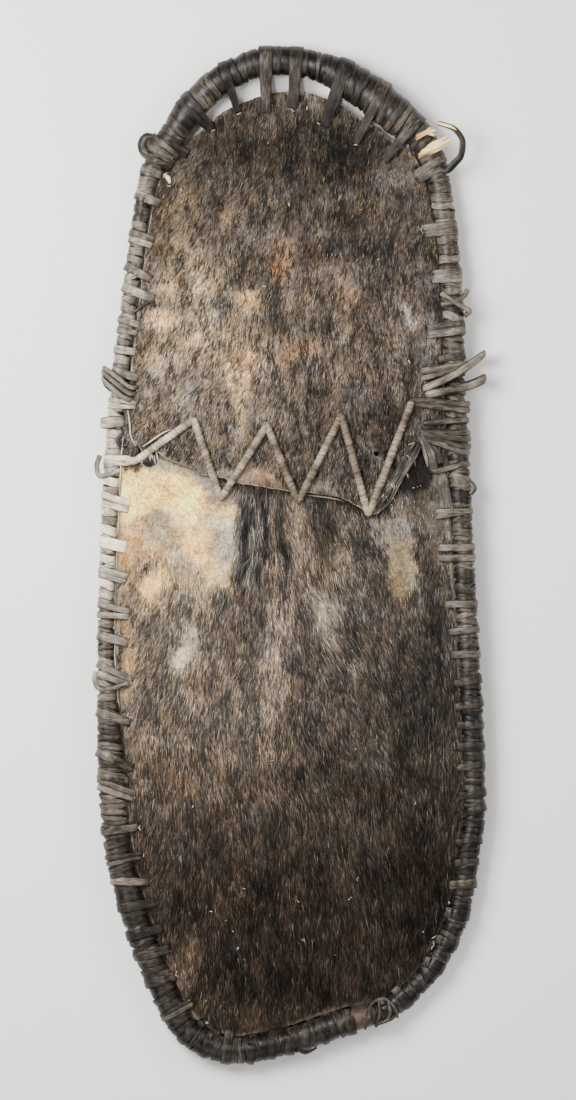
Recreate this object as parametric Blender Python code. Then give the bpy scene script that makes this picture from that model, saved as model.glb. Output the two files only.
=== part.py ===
"""A hide shield lying on its back, hair side up.

Two hair-on hides fill a long hoop of bent cane. The hoop is two rods, an arch and a long
U, scarfed together at the shoulders and bound all round with split cane. Some turns of the
binding reach inwards, go through a slit near the hide's edge and come back behind it. A
wrapped cord zigzags over the seam of the hides. A strap of cane strands crosses the back
as a grip, and its ends loop round the rim. Lengths are in metres, X is across, Y is up the
shield and Z is out of its face.
"""

import math

import bmesh
import bpy
import numpy as np
from mathutils import Vector

# Overall size
SHIELD_LENGTH = 1.020
SHIELD_WIDTH = 0.390
DOME_HEIGHT = 0.022  # how far the hides swell out of the rim's plane
RIM_BOW = 0.012  # how far the rim's middle rises off the ground

# Bound rim, measured across the binding
ARCH_RIM = 0.030
ARCH_RIGHT_RIM = 0.038
SHOULDER_RIM = 0.025
RIGHT_RIM = 0.022
FOOT_RIM = 0.027
LEFT_RIM = 0.017

# Split cane
STRIP_THICKNESS = 0.0022
LASH_WIDTH = 0.0085
WIDE_LASH_WIDTH = 0.0115
FAN_LASH_WIDTH = 0.017  # several strands fanned out side by side
LASH_BITE = 0.0008  # how deep a lash sinks into the turns under it
LASH_STAND = STRIP_THICKNESS - LASH_BITE
BINDING_GAP = 0.0006  # between the rod and its binding
SLEEVE_GAP = 0.0008  # between one binding and the next

# Hides
HIDE_THICKNESS = 0.003
HIDE_SEAT = 0.0125  # the hide's middle surface above the rim's underside
HIDE_EDGE_GAP = 0.0016  # from the rim to the hide along the sides
ARCH_WINDOW = 0.016  # how much more of a gap there is under the top of the arch
WINDOW_SKEW = 0.75  # under 1 the window is widest left of the arch's middle
WINDOW_SLOPE = 3.0  # over 1 the window narrows sooner towards the shoulders
JOINT_REACH = 2.5  # the hide clears a joint's thicker lashing this many half lengths from it
SLIT_INSET = 0.0085  # from the hide's edge to a slit
SLIT_CLEARANCE = 0.0009
SEAM_GAP = 0.0012  # between the two hides where they lap
SEAM_RAMP = 0.120  # how far the upper hide takes to come down to its level
SEAM_FLAT = 0.006  # how far it stays up past the lower hide's edge
OLD_HOLE_RADIUS = 0.0028

# Seam cord
CORD_RADIUS = 0.0039
CORD_CLEARANCE = 0.0014
CORD_STEP = 0.042
PEG_RADIUS = 0.0026
PEG_CLEARANCE = 0.0006
KNOT_RADIUS = 0.0048
KNOT_HEIGHT = 0.0034
KNOT_CLEARANCE = 0.0012

# Grip
GRIP_HEIGHT = 0.174  # where it crosses, above the shield's middle
STRAP_WIDTH = 0.030
STRAP_THICKNESS = 0.004
STRAP_CLEARANCE = 0.0016
RIGHT_SLACK = 0.013  # how far the strap's loop stands out from the rim
LEFT_SLACK = 0.005
STRAP_DIP_SPAN = 0.36  # share of the strap's length at its middle that is inside the handle
HANDLE_WIDTH = 0.030
HANDLE_DEPTH = 0.0136
HANDLE_LENGTH = 0.115
HANDLE_STAND = 0.0006  # between the handle and the ground
LASH_TO_STRAP = 0.0025  # at least this between a lash and the grip's loops

# Scarf joints and loose ends
SCARF_SLOPE = 1.0
SCARF_GAP = 0.0005
JOINT_HALF_LENGTH = 0.027
JOINT_EXTRA = 0.0013  # how much thicker the joint's lashing is
LOOSE_LASH_SLACK = 0.0045  # how far a loose turn stands out from the rim
CURL_RADIUS = 0.0240
CURL_CENTRE_INSET = 0.0045  # the middle of the loose end's bend, in from the rim's edge
CURL_END = 62  # degrees round its middle from straight out, at its tip
CURL_LEAN = 65  # how far the strip has turned its broad face up at its tip
CURL_RISE = 0.006
CURL_WIDTH = 0.0052
CURL_STEPS = 9
SPLINTER_LENGTH = 0.031
SPLINTER_WIDTH = 0.009
SPLINTER_DEPTH = 0.0052
SPLINTER_BITE = 0.0012
SPLINTER_TURN = 14  # degrees from straight across
SPLINTER_PROFILE = [(0.0, 0.3, 0.5), (0.3, 0.9, 0.85), (0.7, 1.0, 1.0), (1.0, 0.6, 0.7)]

# The rim's outer edge, clockwise from the left shoulder: shares of the half width and half
# length, and the bound rim's thickness there
RIM_OUTLINE = [
    (-0.723, 0.795, SHOULDER_RIM),
    (-0.595, 0.885, ARCH_RIM),
    (-0.405, 0.956, ARCH_RIM),
    (-0.154, 0.997, ARCH_RIM),
    (0.118, 0.991, ARCH_RIM),
    (0.374, 0.956, ARCH_RIGHT_RIM),
    (0.615, 0.885, ARCH_RIGHT_RIM),
    (0.774, 0.795, SHOULDER_RIM),
    (0.841, 0.668, RIGHT_RIM),
    (0.882, 0.501, RIGHT_RIM),
    (0.892, 0.344, RIGHT_RIM),
    (0.928, 0.070, RIGHT_RIM),
    (0.995, -0.440, RIGHT_RIM),
    (0.969, -0.577, RIGHT_RIM),
    (0.903, -0.719, RIGHT_RIM),
    (0.759, -0.828, RIGHT_RIM),
    (0.528, -0.909, RIGHT_RIM),
    (0.272, -0.946, FOOT_RIM),
    (-0.010, -0.981, FOOT_RIM),
    (-0.328, -0.999, FOOT_RIM),
    (-0.585, -0.952, FOOT_RIM),
    (-0.749, -0.842, FOOT_RIM),
    (-0.872, -0.715, FOOT_RIM),
    (-0.964, -0.568, FOOT_RIM),
    (-0.995, -0.401, FOOT_RIM),
    (-0.995, -0.185, LEFT_RIM),
    (-0.979, 0.050, LEFT_RIM),
    (-0.949, 0.246, LEFT_RIM),
    (-0.897, 0.432, LEFT_RIM),
    (-0.795, 0.717, LEFT_RIM),
]

# Places on the rim and the hides are shares of the half width and half length too
RIGHT_SHOULDER = (0.774, 0.795)
LEFT_SIDE = -0.95  # roughly where the sides are, to find the rim there
RIGHT_SIDE = 0.90
FOOT_LEFT = (-0.660, -0.915)  # where the left binding gives way to the foot's
BREAK_LEFT = (0.350, -0.938)  # the binding is worn off the rod from here
BREAK_RIGHT = (0.460, -0.920)  # to here

# Runs of evenly spaced lashes, clockwise: first and last place, how many, and their width
LASH_RUNS = [
    ((-0.686, 0.820), (-0.686, 0.820), 1, LASH_WIDTH),
    ((-0.515, 0.906), (-0.353, 0.966), 2, WIDE_LASH_WIDTH),
    ((-0.127, 0.996), (0.020, 0.994), 2, WIDE_LASH_WIDTH),
    ((0.295, 0.958), (0.491, 0.924), 2, LASH_WIDTH),
    ((0.655, 0.865), (0.655, 0.865), 1, LASH_WIDTH),
    ((0.850, 0.638), (0.885, 0.500), 3, WIDE_LASH_WIDTH),
    ((0.896, 0.294), (0.896, 0.294), 1, LASH_WIDTH),
    ((0.902, 0.226), (0.902, 0.226), 1, FAN_LASH_WIDTH),
    ((0.912, 0.170), (0.920, 0.084), 2, LASH_WIDTH),
    ((0.928, 0.010), (0.995, -0.370), 6, LASH_WIDTH),
    ((0.990, -0.480), (0.700, -0.855), 5, LASH_WIDTH),
    ((0.210, -0.955), (-0.560, -0.960), 5, LASH_WIDTH),
    ((-0.720, -0.865), (-0.990, -0.460), 5, LASH_WIDTH),
    ((-0.995, -0.350), (-0.983, 0.025), 5, LASH_WIDTH),
    ((-0.970, 0.100), (-0.970, 0.100), 1, WIDE_LASH_WIDTH),
    ((-0.925, 0.292), (-0.925, 0.292), 1, LASH_WIDTH),
    ((-0.895, 0.505), (-0.810, 0.690), 3, LASH_WIDTH),
]
LOOSE_LASHES = [(-0.965, 0.175), (-0.940, 0.240)]  # these turns stand out from the rim

# The upper hide's lower edge, left to right, torn away at the right
UPPER_EDGE = [
    (-0.708, 0.199),
    (-0.523, 0.176),
    (-0.350, 0.148),
    (-0.154, 0.133),
    (0.041, 0.125),
    (0.262, 0.111),
    (0.380, 0.099),
    (0.503, 0.125),
    (0.574, 0.172),
    (0.636, 0.215),
    (0.723, 0.200),
]
# The lower hide's upper edge, left to right; what lies under the upper hide is plain
LOWER_EDGE = [
    (-0.723, 0.220),
    (-0.450, 0.210),
    (-0.150, 0.195),
    (0.150, 0.180),
    (0.410, 0.185),
    (0.554, 0.207),
    (0.620, 0.226),
    (0.675, 0.216),
    (0.705, 0.176),
    (0.744, 0.164),
]
UPPER_EDGE_ENDS = (0.224, 0.199)  # heights at which it meets the left and right rim
LOWER_EDGE_ENDS = (0.205, 0.172)
OLD_HOLE = (0.436, 0.198)

# The seam cord's corners, left to right; odd ones go through the lower hide
SEAM_CORNERS = [
    (-0.780, 0.183),
    (-0.501, 0.266),
    (-0.360, 0.117),
    (-0.122, 0.254),
    (0.026, 0.103),
    (0.260, 0.274),
    (0.388, 0.077),
    (0.590, 0.297),
]

# Middles of the rings of points that a hide is made of
UPPER_HIDE_MIDDLE = (0.0, 0.50)
LOWER_HIDE_MIDDLE = (0.0, -0.42)

SIDES = 8
PEG_SIDES = 6
HALF_SIDE = math.pi / SIDES
FLAT = math.cos(HALF_SIDE)  # a flat's distance as a share of a corner's
TURN_STEP = math.radians(17)  # how far the rim may turn from one ring of points to the next
SHORTEST_STEP = 0.026
LONGEST_STEP = 0.085
NUDGE = 0.0002  # a step to either side of a place on the rim
END_CLEARANCE = 0.007  # a binding that would end nearer than this to a corner ends at it
FINE_STEPS = 24  # points on each span of a smooth curve
RING_SCALES = (1.0, 0.85, 0.60, 0.30)  # rings of points on a hide, from its edge inwards
EDGE_STEP = 0.068  # between points along a hide's edge
CUT_DEPTH = 0.03

WOOD = ("bent_cane", (0.30, 0.19, 0.10), 0.65)
CANE = ("split_cane", (0.17, 0.14, 0.115), 0.5)
CORD = ("wrapped_cord", (0.30, 0.25, 0.19), 0.6)
HAIR_HIDE = ("hair_hide", (0.12, 0.095, 0.075), 0.85)


def place(share):
    """A point of the shield's face, in metres, from shares of its half width and length."""
    return np.array([share[0] * SHIELD_WIDTH / 2, share[1] * SHIELD_LENGTH / 2])


def smooth_loop(points):
    """A fine closed curve through the points (Catmull-Rom), in as many dimensions as they have."""
    points = np.array(points, float)
    before, after, beyond = (np.roll(points, shift, axis=0) for shift in (1, -1, -2))
    t = np.linspace(0, 1, FINE_STEPS, endpoint=False)[:, None, None]
    curve = 0.5 * (
        2 * points
        + (after - before) * t
        + (2 * before - 5 * points + 4 * after - beyond) * t**2
        + (3 * points - before - 3 * after + beyond) * t**3
    )
    return np.swapaxes(curve, 0, 1).reshape(-1, points.shape[1])


class Rim:
    """The bound rim's outer edge as a polygon, by the distance along it from the left shoulder.

    Its corners are closer together where the rim turns, and it is straight through the
    lashed joints at the shoulders.
    """

    def __init__(self):
        rows = [(*place((x, y)), thickness) for x, y, thickness in RIM_OUTLINE]
        fine = smooth_loop(rows)
        count = len(fine)
        spans = np.roll(fine[:, :2], -1, axis=0) - fine[:, :2]
        headings = np.unwrap(np.arctan2(spans[:, 1], spans[:, 0]))
        travelled = np.concatenate([[0], np.cumsum(np.linalg.norm(spans, axis=1))])
        right = FINE_STEPS * [row[:2] for row in RIM_OUTLINE].index(RIGHT_SHOULDER)
        shoulders = np.array([0.0, travelled[right], travelled[-1]])
        room = np.min(np.abs(travelled[:-1, None] - shoulders), axis=1) - JOINT_HALF_LENGTH
        runs = []
        for i in range(count):
            if room[i] < 0:
                continue
            starts, ends = room[i - 1] < 0, room[(i + 1) % count] < 0
            if starts:
                runs.append([])
                last = i
            reach = travelled[i] - travelled[last]
            bent = abs(headings[i] - headings[last]) > TURN_STEP or reach > LONGEST_STEP
            if starts or ends or (bent and min(reach, room[i]) > SHORTEST_STEP):
                runs[-1].append(fine[i])
                last = i
        arch, hoop = runs
        left_middle = (hoop[-1] + arch[0]) / 2
        right_middle = (arch[-1] + hoop[0]) / 2
        corners = np.array([left_middle, *arch, right_middle, *hoop, left_middle])
        lifts = np.array([[rim_lift(y)] for y in corners[:, 1]])
        self.rows = np.hstack([corners, lifts])
        lengths = np.linalg.norm(np.diff(corners[:, :2], axis=0), axis=1)
        self.along = np.concatenate([[0], np.cumsum(lengths)])
        self.length = self.along[-1]
        middle = 1 + len(arch)
        self.left_joint = (self.along[-2] - self.length, 0.0, self.along[1])
        self.right_joint = tuple(self.along[middle - 1 : middle + 2])

    def read(self, s, column):
        return float(np.interp(s % self.length, self.along, self.rows[:, column]))

    def point(self, s):
        return np.array([self.read(s, 0), self.read(s, 1)])

    def thickness(self, s):
        return self.read(s, 2)

    def lift(self, s):
        return self.read(s, 3)

    def tangent(self, s):
        ahead = self.point(s + NUDGE) - self.point(s - NUDGE)
        return ahead / np.linalg.norm(ahead)

    def inward(self, s):
        """Square to the rim; at a corner it is longer, so that both sides keep their width."""
        tangent = self.tangent(s)
        ahead = self.point(s + NUDGE) - self.point(s)
        mitre = float(tangent @ ahead) / float(np.linalg.norm(ahead))
        return np.array([tangent[1], -tangent[0]]) / mitre

    def nearest(self, share):
        """The distance along the rim of the point nearest a place."""
        spot = place(share)
        best = (math.inf, 0.0)
        for start, end, along in zip(self.rows, self.rows[1:], self.along):
            span = end[:2] - start[:2]
            t = min(1.0, max(0.0, float((spot - start[:2]) @ span / (span @ span))))
            gap = float(np.linalg.norm(start[:2] + span * t - spot))
            best = min(best, (gap, along + t * float(np.linalg.norm(span))))
        return best[1]

    def settled(self, share):
        """The distance along the rim of a binding's end near a place."""
        s = self.nearest(share)
        corner = float(self.along[np.argmin(np.abs(self.along - s))])
        return corner if abs(corner - s) < END_CLEARANCE else s

    def stations(self, start, end):
        """start, end and the corners between them, on past the left shoulder if need be."""
        corners = [s + self.length * turn for turn in (-1, 0, 1) for s in self.along[:-1]]
        return [start] + [s for s in corners if start + NUDGE < s < end - NUDGE] + [end]


def rim_lift(y):
    """How high the rim's underside is off the ground at a height on the shield."""
    share = min(1.0, abs(y) / (SHIELD_LENGTH / 2))
    return LASH_STAND + RIM_BOW * (1 - share**2) ** 2


RIM = Rim()
RIGHT_S = RIM.right_joint[1]


def hide_inset(s):
    """From the rim's outer edge to the hide's: just past the rim, and more under the arch."""
    s = s % RIM.length
    share = min(1.0, s / RIGHT_S) ** WINDOW_SKEW
    window = max(0.0, math.sin(math.pi * share)) ** WINDOW_SLOPE
    to_joint = min(s, RIM.length - s, abs(s - RIGHT_S))
    joint = min(1.0, max(0.0, JOINT_REACH - to_joint / JOINT_HALF_LENGTH))
    return RIM.thickness(s) + HIDE_EDGE_GAP + JOINT_EXTRA * joint + ARCH_WINDOW * window


def hide_edge_point(s):
    return RIM.point(s) + RIM.inward(s) * hide_inset(s)


def polar_edge():
    """Angle and radius of the hide's whole edge about the shield's middle, for the dome."""
    points = [hide_edge_point(s) for s in np.linspace(0, RIM.length, 180, endpoint=False)]
    angles = [math.atan2(y, x) for x, y in points]
    order = np.argsort(angles)
    return np.array(angles)[order], np.linalg.norm(points, axis=1)[order]


EDGE_ANGLES, EDGE_RADII = polar_edge()


def dome_z(x, y):
    """Height of a hide's middle surface: its seat in the rim and the swell towards its middle."""
    angle = math.atan2(y, x)
    radius = np.interp(angle, EDGE_ANGLES, EDGE_RADII, period=2 * math.pi)
    share = min(1.0, math.hypot(x, y) / radius)
    return rim_lift(y) + HIDE_SEAT + DOME_HEIGHT * (1 - share**2)


def lower_edge_height(x):
    """How high the lower hide's upper edge is, across the shield."""
    points = np.array([place(share) for share in LOWER_EDGE])
    return np.interp(x, points[:, 0], points[:, 1])


def seam_raise(x, y):
    """How far the upper hide is lifted to lap over the lower one."""
    share = (y - lower_edge_height(x) - SEAM_FLAT) / SEAM_RAMP
    share = min(1.0, max(0.0, share))
    return (HIDE_THICKNESS + SEAM_GAP) * (1 - share**2 * (3 - 2 * share))


def upper_z(x, y):
    return dome_z(x, y) + seam_raise(x, y)


def face_z(x, y):
    """Height of the front of whichever hide is on top."""
    points = np.array([place(share) for share in UPPER_EDGE])
    upper = y > np.interp(x, points[:, 0], points[:, 1])
    return (upper_z(x, y) if upper else dome_z(x, y)) + HIDE_THICKNESS / 2


def new_object(name, bm, look=None, cutter=False):
    """An object from a bmesh, with its material, or hidden if it only cuts or joins."""
    bmesh.ops.recalc_face_normals(bm, faces=bm.faces)
    mesh = bpy.data.meshes.new(name)
    bm.to_mesh(mesh)
    bm.free()
    made = bpy.data.objects.new(name, mesh)
    bpy.context.scene.collection.objects.link(made)
    if cutter:
        made.hide_render = True
        made.display_type = "WIRE"
    if look:
        mesh.materials.append(material(*look))
        mesh.shade_smooth()
        mesh.set_sharp_from_angle(angle=math.radians(40))
    return made


def material(name, colour, roughness):
    found = bpy.data.materials.get(name)
    if found:
        return found
    made = bpy.data.materials.new(name)
    made.use_nodes = True
    shader = made.node_tree.nodes["Principled BSDF"]
    shader.inputs["Base Color"].default_value = (*colour, 1.0)
    shader.inputs["Roughness"].default_value = roughness
    shader.inputs["Metallic"].default_value = 0.0
    return made


def join(target, tool, operation):
    modifier = target.modifiers.new(tool.name, "BOOLEAN")
    modifier.operation = operation
    modifier.solver = "EXACT"
    modifier.use_self = True
    modifier.object = tool


def skin(bm, rings, closed=False, caps=True):
    """Quads between neighbouring rings of points, and a cap on each end of an open run."""
    rows = [[bm.verts.new(p) for p in ring] for ring in rings]
    count = len(rows[0])
    pairs = list(zip(rows, rows[1:] + rows[:1]))
    for row, following in pairs if closed else pairs[:-1]:
        for i in range(count):
            j = (i + 1) % count
            bm.faces.new((row[i], row[j], following[j], following[i]))
    if caps and not closed:
        bm.faces.new(rows[0][::-1])
        bm.faces.new(rows[-1])
    return rows


def rim_ring(s, inset, shift=0.0, scarf=0.0):
    """Points round the rim's middle line, with flats inset from the binding's outside.

    One flat faces down. The ring is moved along the rim by shift, and scarf makes its face
    lean along a straight stretch.
    """
    ring = []
    for i in range(SIDES):
        angle = (2 * i + 1) * HALF_SIDE
        half = RIM.thickness(s) / 2
        at = s + scarf * (half - inset) / FLAT * math.sin(angle)
        half = RIM.thickness(at) / 2
        across = half + (half - inset) / FLAT * math.cos(angle)
        flat = RIM.point(at) + RIM.inward(at) * across + RIM.tangent(at) * shift
        ring.append((flat[0], flat[1], RIM.lift(at) + half + (half - inset) / FLAT * math.sin(angle)))
    return ring


def make_rod(name, start, end):
    """A bent cane rod with a slanted face at each end, to lie against the other rod's."""
    bm = bmesh.new()
    rings = [rim_ring(s, STRIP_THICKNESS) for s in RIM.stations(start, end)]
    rings[0] = rim_ring(start, STRIP_THICKNESS, SCARF_GAP / 2, SCARF_SLOPE)
    rings[-1] = rim_ring(end, STRIP_THICKNESS, -SCARF_GAP / 2, SCARF_SLOPE)
    skin(bm, rings)
    return new_object(name, bm, WOOD)


def slit_place(s):
    """Where a lash at s goes through the hide, and its distance in from the rim's edge."""
    inset = hide_inset(s) + SLIT_INSET
    return RIM.point(s) + RIM.inward(s) * inset, inset


def loop_profile(s, flat_radius, thickness, tip, hide_middle, slack=0.0, clear=SLIT_CLEARANCE):
    """Inner and outer line of a strip round the rim and through the hide, across and up.

    The strip lies on the flats at flat_radius, stands out by slack on the outer side, and
    goes through the hide at tip.
    """
    centre = RIM.thickness(s) / 2
    middle = RIM.lift(s) + centre
    lines = []
    for grow in (0.0, thickness):
        corner = (flat_radius + grow) / FLAT
        line = []
        for i in range(1, 7):
            angle = (2 * i + 1) * HALF_SIDE
            out = slack if i in (3, 4) else 0.0
            across = centre + corner * math.cos(angle) - out
            line.append((across, middle + corner * math.sin(angle)))
        leg = tip - thickness / 2 + grow
        half = HIDE_THICKNESS / 2 + clear + grow
        line.append((leg, hide_middle - half))
        line.append((leg, hide_middle + half))
        lines.append(line)
    return lines


def add_loop(bm, s, lines, width):
    """A closed strip from its inner and outer lines, width wide along the rim."""
    outer, inward, tangent = RIM.point(s), RIM.inward(s), RIM.tangent(s)

    def at(across, up, along):
        flat = outer + inward * across + tangent * along
        return (flat[0], flat[1], up)

    inner_line, outer_line = lines
    rings = []
    for (inner_x, inner_z), (outer_x, outer_z) in zip(inner_line, outer_line):
        rings.append(
            [
                at(inner_x, inner_z, -width / 2),
                at(outer_x, outer_z, -width / 2),
                at(outer_x, outer_z, width / 2),
                at(inner_x, inner_z, width / 2),
            ]
        )
    skin(bm, rings, closed=True)


def add_box(bm, centre, inward, tangent, across, along, low, high):
    """An upright box for a slit's cutter."""
    rings = []
    for z in (low, high):
        corners = []
        for a, b in ((-1, -1), (1, -1), (1, 1), (-1, 1)):
            flat = centre + inward * a * across / 2 + tangent * b * along / 2
            corners.append((flat[0], flat[1], z))
        rings.append(corners)
    skin(bm, rings)


def add_peg(bm, centre, radius, low, high):
    """An upright prism, as a peg or as a hole's cutter."""
    rings = []
    for z in (low, high):
        ring = []
        for i in range(PEG_SIDES):
            angle = 2 * math.pi * i / PEG_SIDES
            x = centre[0] + radius * math.cos(angle)
            y = centre[1] + radius * math.sin(angle)
            ring.append((x, y, z))
        rings.append(ring)
    skin(bm, rings)


def hide_surface(x, y, upper):
    return upper_z(x, y) if upper else dome_z(x, y)


def is_upper(y):
    """Whether the rim's hide at this height is the upper one."""
    return y > place((0, (UPPER_EDGE_ENDS[1] + LOWER_EDGE_ENDS[0]) / 2))[1]


def grip_stations():
    """Distances along the rim where the grip's right and left loops are, with their slack."""
    share = GRIP_HEIGHT / (SHIELD_LENGTH / 2)
    right, left = RIM.nearest((RIGHT_SIDE, share)), RIM.nearest((LEFT_SIDE, share))
    return ((right, RIGHT_SLACK), (left, LEFT_SLACK))


def beside_the_grip(s, width):
    """The same place along the rim, or the nearest one that clears the grip's loops."""
    for strap, _ in grip_stations():
        room = (STRAP_WIDTH + width) / 2 + LASH_TO_STRAP
        if abs(s - strap) < room:
            s = strap + math.copysign(room, s - strap)
    return s


def lash_list():
    """(distance along the rim, width, slack) of every lash."""
    found = []
    for first, last, count, width in LASH_RUNS:
        for s in np.linspace(RIM.nearest(first), RIM.nearest(last), count):
            found.append((beside_the_grip(float(s), width), width, 0.0))
    for share in LOOSE_LASHES:
        s = beside_the_grip(RIM.nearest(share), LASH_WIDTH)
        found.append((s, LASH_WIDTH, LOOSE_LASH_SLACK))
    return found


def make_sleeve(name, start, end, lashes, extra=0.0):
    """The binding on a stretch of rim, with the lashes that belong to it joined on."""
    bm = bmesh.new()
    stations = RIM.stations(start, end)
    shifts = [SLEEVE_GAP / 2] + [0.0] * (len(stations) - 2) + [-SLEEVE_GAP / 2]
    outer = []
    inner = []
    for s, shift in zip(stations, shifts):
        outer.append(rim_ring(s, -extra, shift))
        inner.append(rim_ring(s, STRIP_THICKNESS - BINDING_GAP, shift))
    outer_rows = skin(bm, outer, caps=False)
    inner_rows = skin(bm, inner, caps=False)
    for end_row in (0, -1):
        for i in range(SIDES):
            j = (i + 1) % SIDES
            a, b = outer_rows[end_row], inner_rows[end_row]
            bm.faces.new((a[i], a[j], b[j], b[i]))
    sleeve = new_object(name, bm, CANE)
    loops = bmesh.new()
    for s, width, slack in lashes:
        spot, tip = slit_place(s)
        hide_middle = hide_surface(*spot, is_upper(spot[1]))
        flat_radius = RIM.thickness(s) / 2 + extra - LASH_BITE
        lines = loop_profile(s, flat_radius, STRIP_THICKNESS, tip, hide_middle, slack)
        add_loop(loops, s, lines, width)
    if lashes:
        tool = new_object(name + "_lashes", loops, cutter=True)
        join(sleeve, tool, "UNION")
    return sleeve


def within(s, start, end):
    return any(start < s + RIM.length * turn < end for turn in (-1, 0, 1))


def hide_outline(upper):
    """The outline of one hide, clockwise: along the rim, then back along its inner edge."""
    left_y, right_y = UPPER_EDGE_ENDS if upper else LOWER_EDGE_ENDS
    left_s = RIM.nearest((LEFT_SIDE, left_y))
    right_s = RIM.nearest((RIGHT_SIDE, right_y))
    if upper:
        start, end, edge = left_s - RIM.length, right_s, UPPER_EDGE[::-1]
    else:
        start, end, edge = right_s, left_s, LOWER_EDGE
    count = round((end - start) / EDGE_STEP)
    rim_side = [hide_edge_point(s) for s in np.linspace(start, end, count + 1)]
    return rim_side + [place(share) for share in edge]


def make_hide(name, upper, centre, slits):
    """A hide as rings of points from its edge to its middle, front and back, then cut."""
    outline = hide_outline(upper)
    middle = place(centre)
    bm = bmesh.new()
    faces = {}
    for side in (1, -1):
        rows = []
        for scale in RING_SCALES:
            row = []
            for point in outline:
                x, y = middle + (point - middle) * scale
                z = hide_surface(x, y, upper) + side * HIDE_THICKNESS / 2
                row.append(bm.verts.new((x, y, z)))
            rows.append(row)
        top = hide_surface(*middle, upper) + side * HIDE_THICKNESS / 2
        hub = bm.verts.new((*middle, top))
        for row, following in zip(rows, rows[1:]):
            for i in range(len(row)):
                j = (i + 1) % len(row)
                bm.faces.new((row[i], row[j], following[j], following[i]))
        for i in range(len(rows[-1])):
            bm.faces.new((rows[-1][i], rows[-1][(i + 1) % len(rows[-1])], hub))
        faces[side] = rows[0]
    for i in range(len(outline)):
        j = (i + 1) % len(outline)
        bm.faces.new((faces[1][i], faces[1][j], faces[-1][j], faces[-1][i]))
    bmesh.ops.triangulate(bm, faces=bm.faces)
    hide = new_object(name, bm, HAIR_HIDE)
    join(hide, slits, "DIFFERENCE")
    return hide


def seam_path():
    """The seam cord's middle line, just clear of the hides, cut square at each corner."""
    flat = []
    ends = []
    for i, share in enumerate(SEAM_CORNERS):
        corner = place(share)
        last = i in (0, len(SEAM_CORNERS) - 1)
        turn = np.array([0.0 if last else CORD_RADIUS, 0.0])
        ends.append((corner - turn, corner + turn))
    for (_, start), (end, _) in zip(ends, ends[1:]):
        count = max(2, round(float(np.linalg.norm(end - start)) / CORD_STEP))
        flat.extend(start + (end - start) * i / count for i in range(count + 1))
    lap = HIDE_THICKNESS + SEAM_GAP
    path = []
    for x, y in flat:
        surface = max(face_z(x, y), dome_z(x, y) + HIDE_THICKNESS / 2 + lap)
        path.append(Vector((x, y, surface + CORD_RADIUS + CORD_CLEARANCE)))
    return path


def add_tube(bm, path, radius):
    """A tube of constant radius along a path that stays roughly level, mitred at its bends."""
    steps = [(after - before).normalized() for before, after in zip(path, path[1:])]
    rings = []
    for point, before, after in zip(path, [steps[0], *steps], [*steps, steps[-1]]):
        ahead = (before + after).normalized()
        side = ahead.cross(Vector((0, 0, 1))).normalized()
        up = side.cross(ahead)
        mitre = side * radius / ahead.dot(after)
        ring = []
        for k in range(PEG_SIDES):
            angle = 2 * math.pi * k / PEG_SIDES
            ring.append(point + mitre * math.cos(angle) + up * radius * math.sin(angle))
        rings.append(ring)
    skin(bm, rings)


def peg_places():
    """Where the seam cord goes through a hide, and whether that is the upper one."""
    return [(place(share), i % 2 == 1) for i, share in enumerate(SEAM_CORNERS)]


def make_seam_cord():
    """The wrapped cord over the seam, with a peg and a knot behind at each corner."""
    bm = bmesh.new()
    path = seam_path()
    add_tube(bm, path, CORD_RADIUS)
    cord = new_object("seam_cord", bm, CORD)
    pegs = bmesh.new()
    knots = bmesh.new()
    for spot, upper in peg_places():
        around = [spot + KNOT_RADIUS * np.array(step) for step in ((1, 0), (-1, 0), (0, 1), (0, -1))]
        back = min(hide_surface(*at, upper) for at in around) - HIDE_THICKNESS / 2
        top = back - KNOT_CLEARANCE
        corner = min(path, key=lambda p: (p.x - spot[0]) ** 2 + (p.y - spot[1]) ** 2)
        add_peg(pegs, spot, PEG_RADIUS, top - KNOT_HEIGHT / 2, corner.z)
        add_peg(knots, spot, KNOT_RADIUS, top - KNOT_HEIGHT, top)
    join(cord, new_object("seam_pegs", pegs, cutter=True), "UNION")
    join(cord, new_object("seam_knots", knots, cutter=True), "UNION")
    return cord


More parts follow.
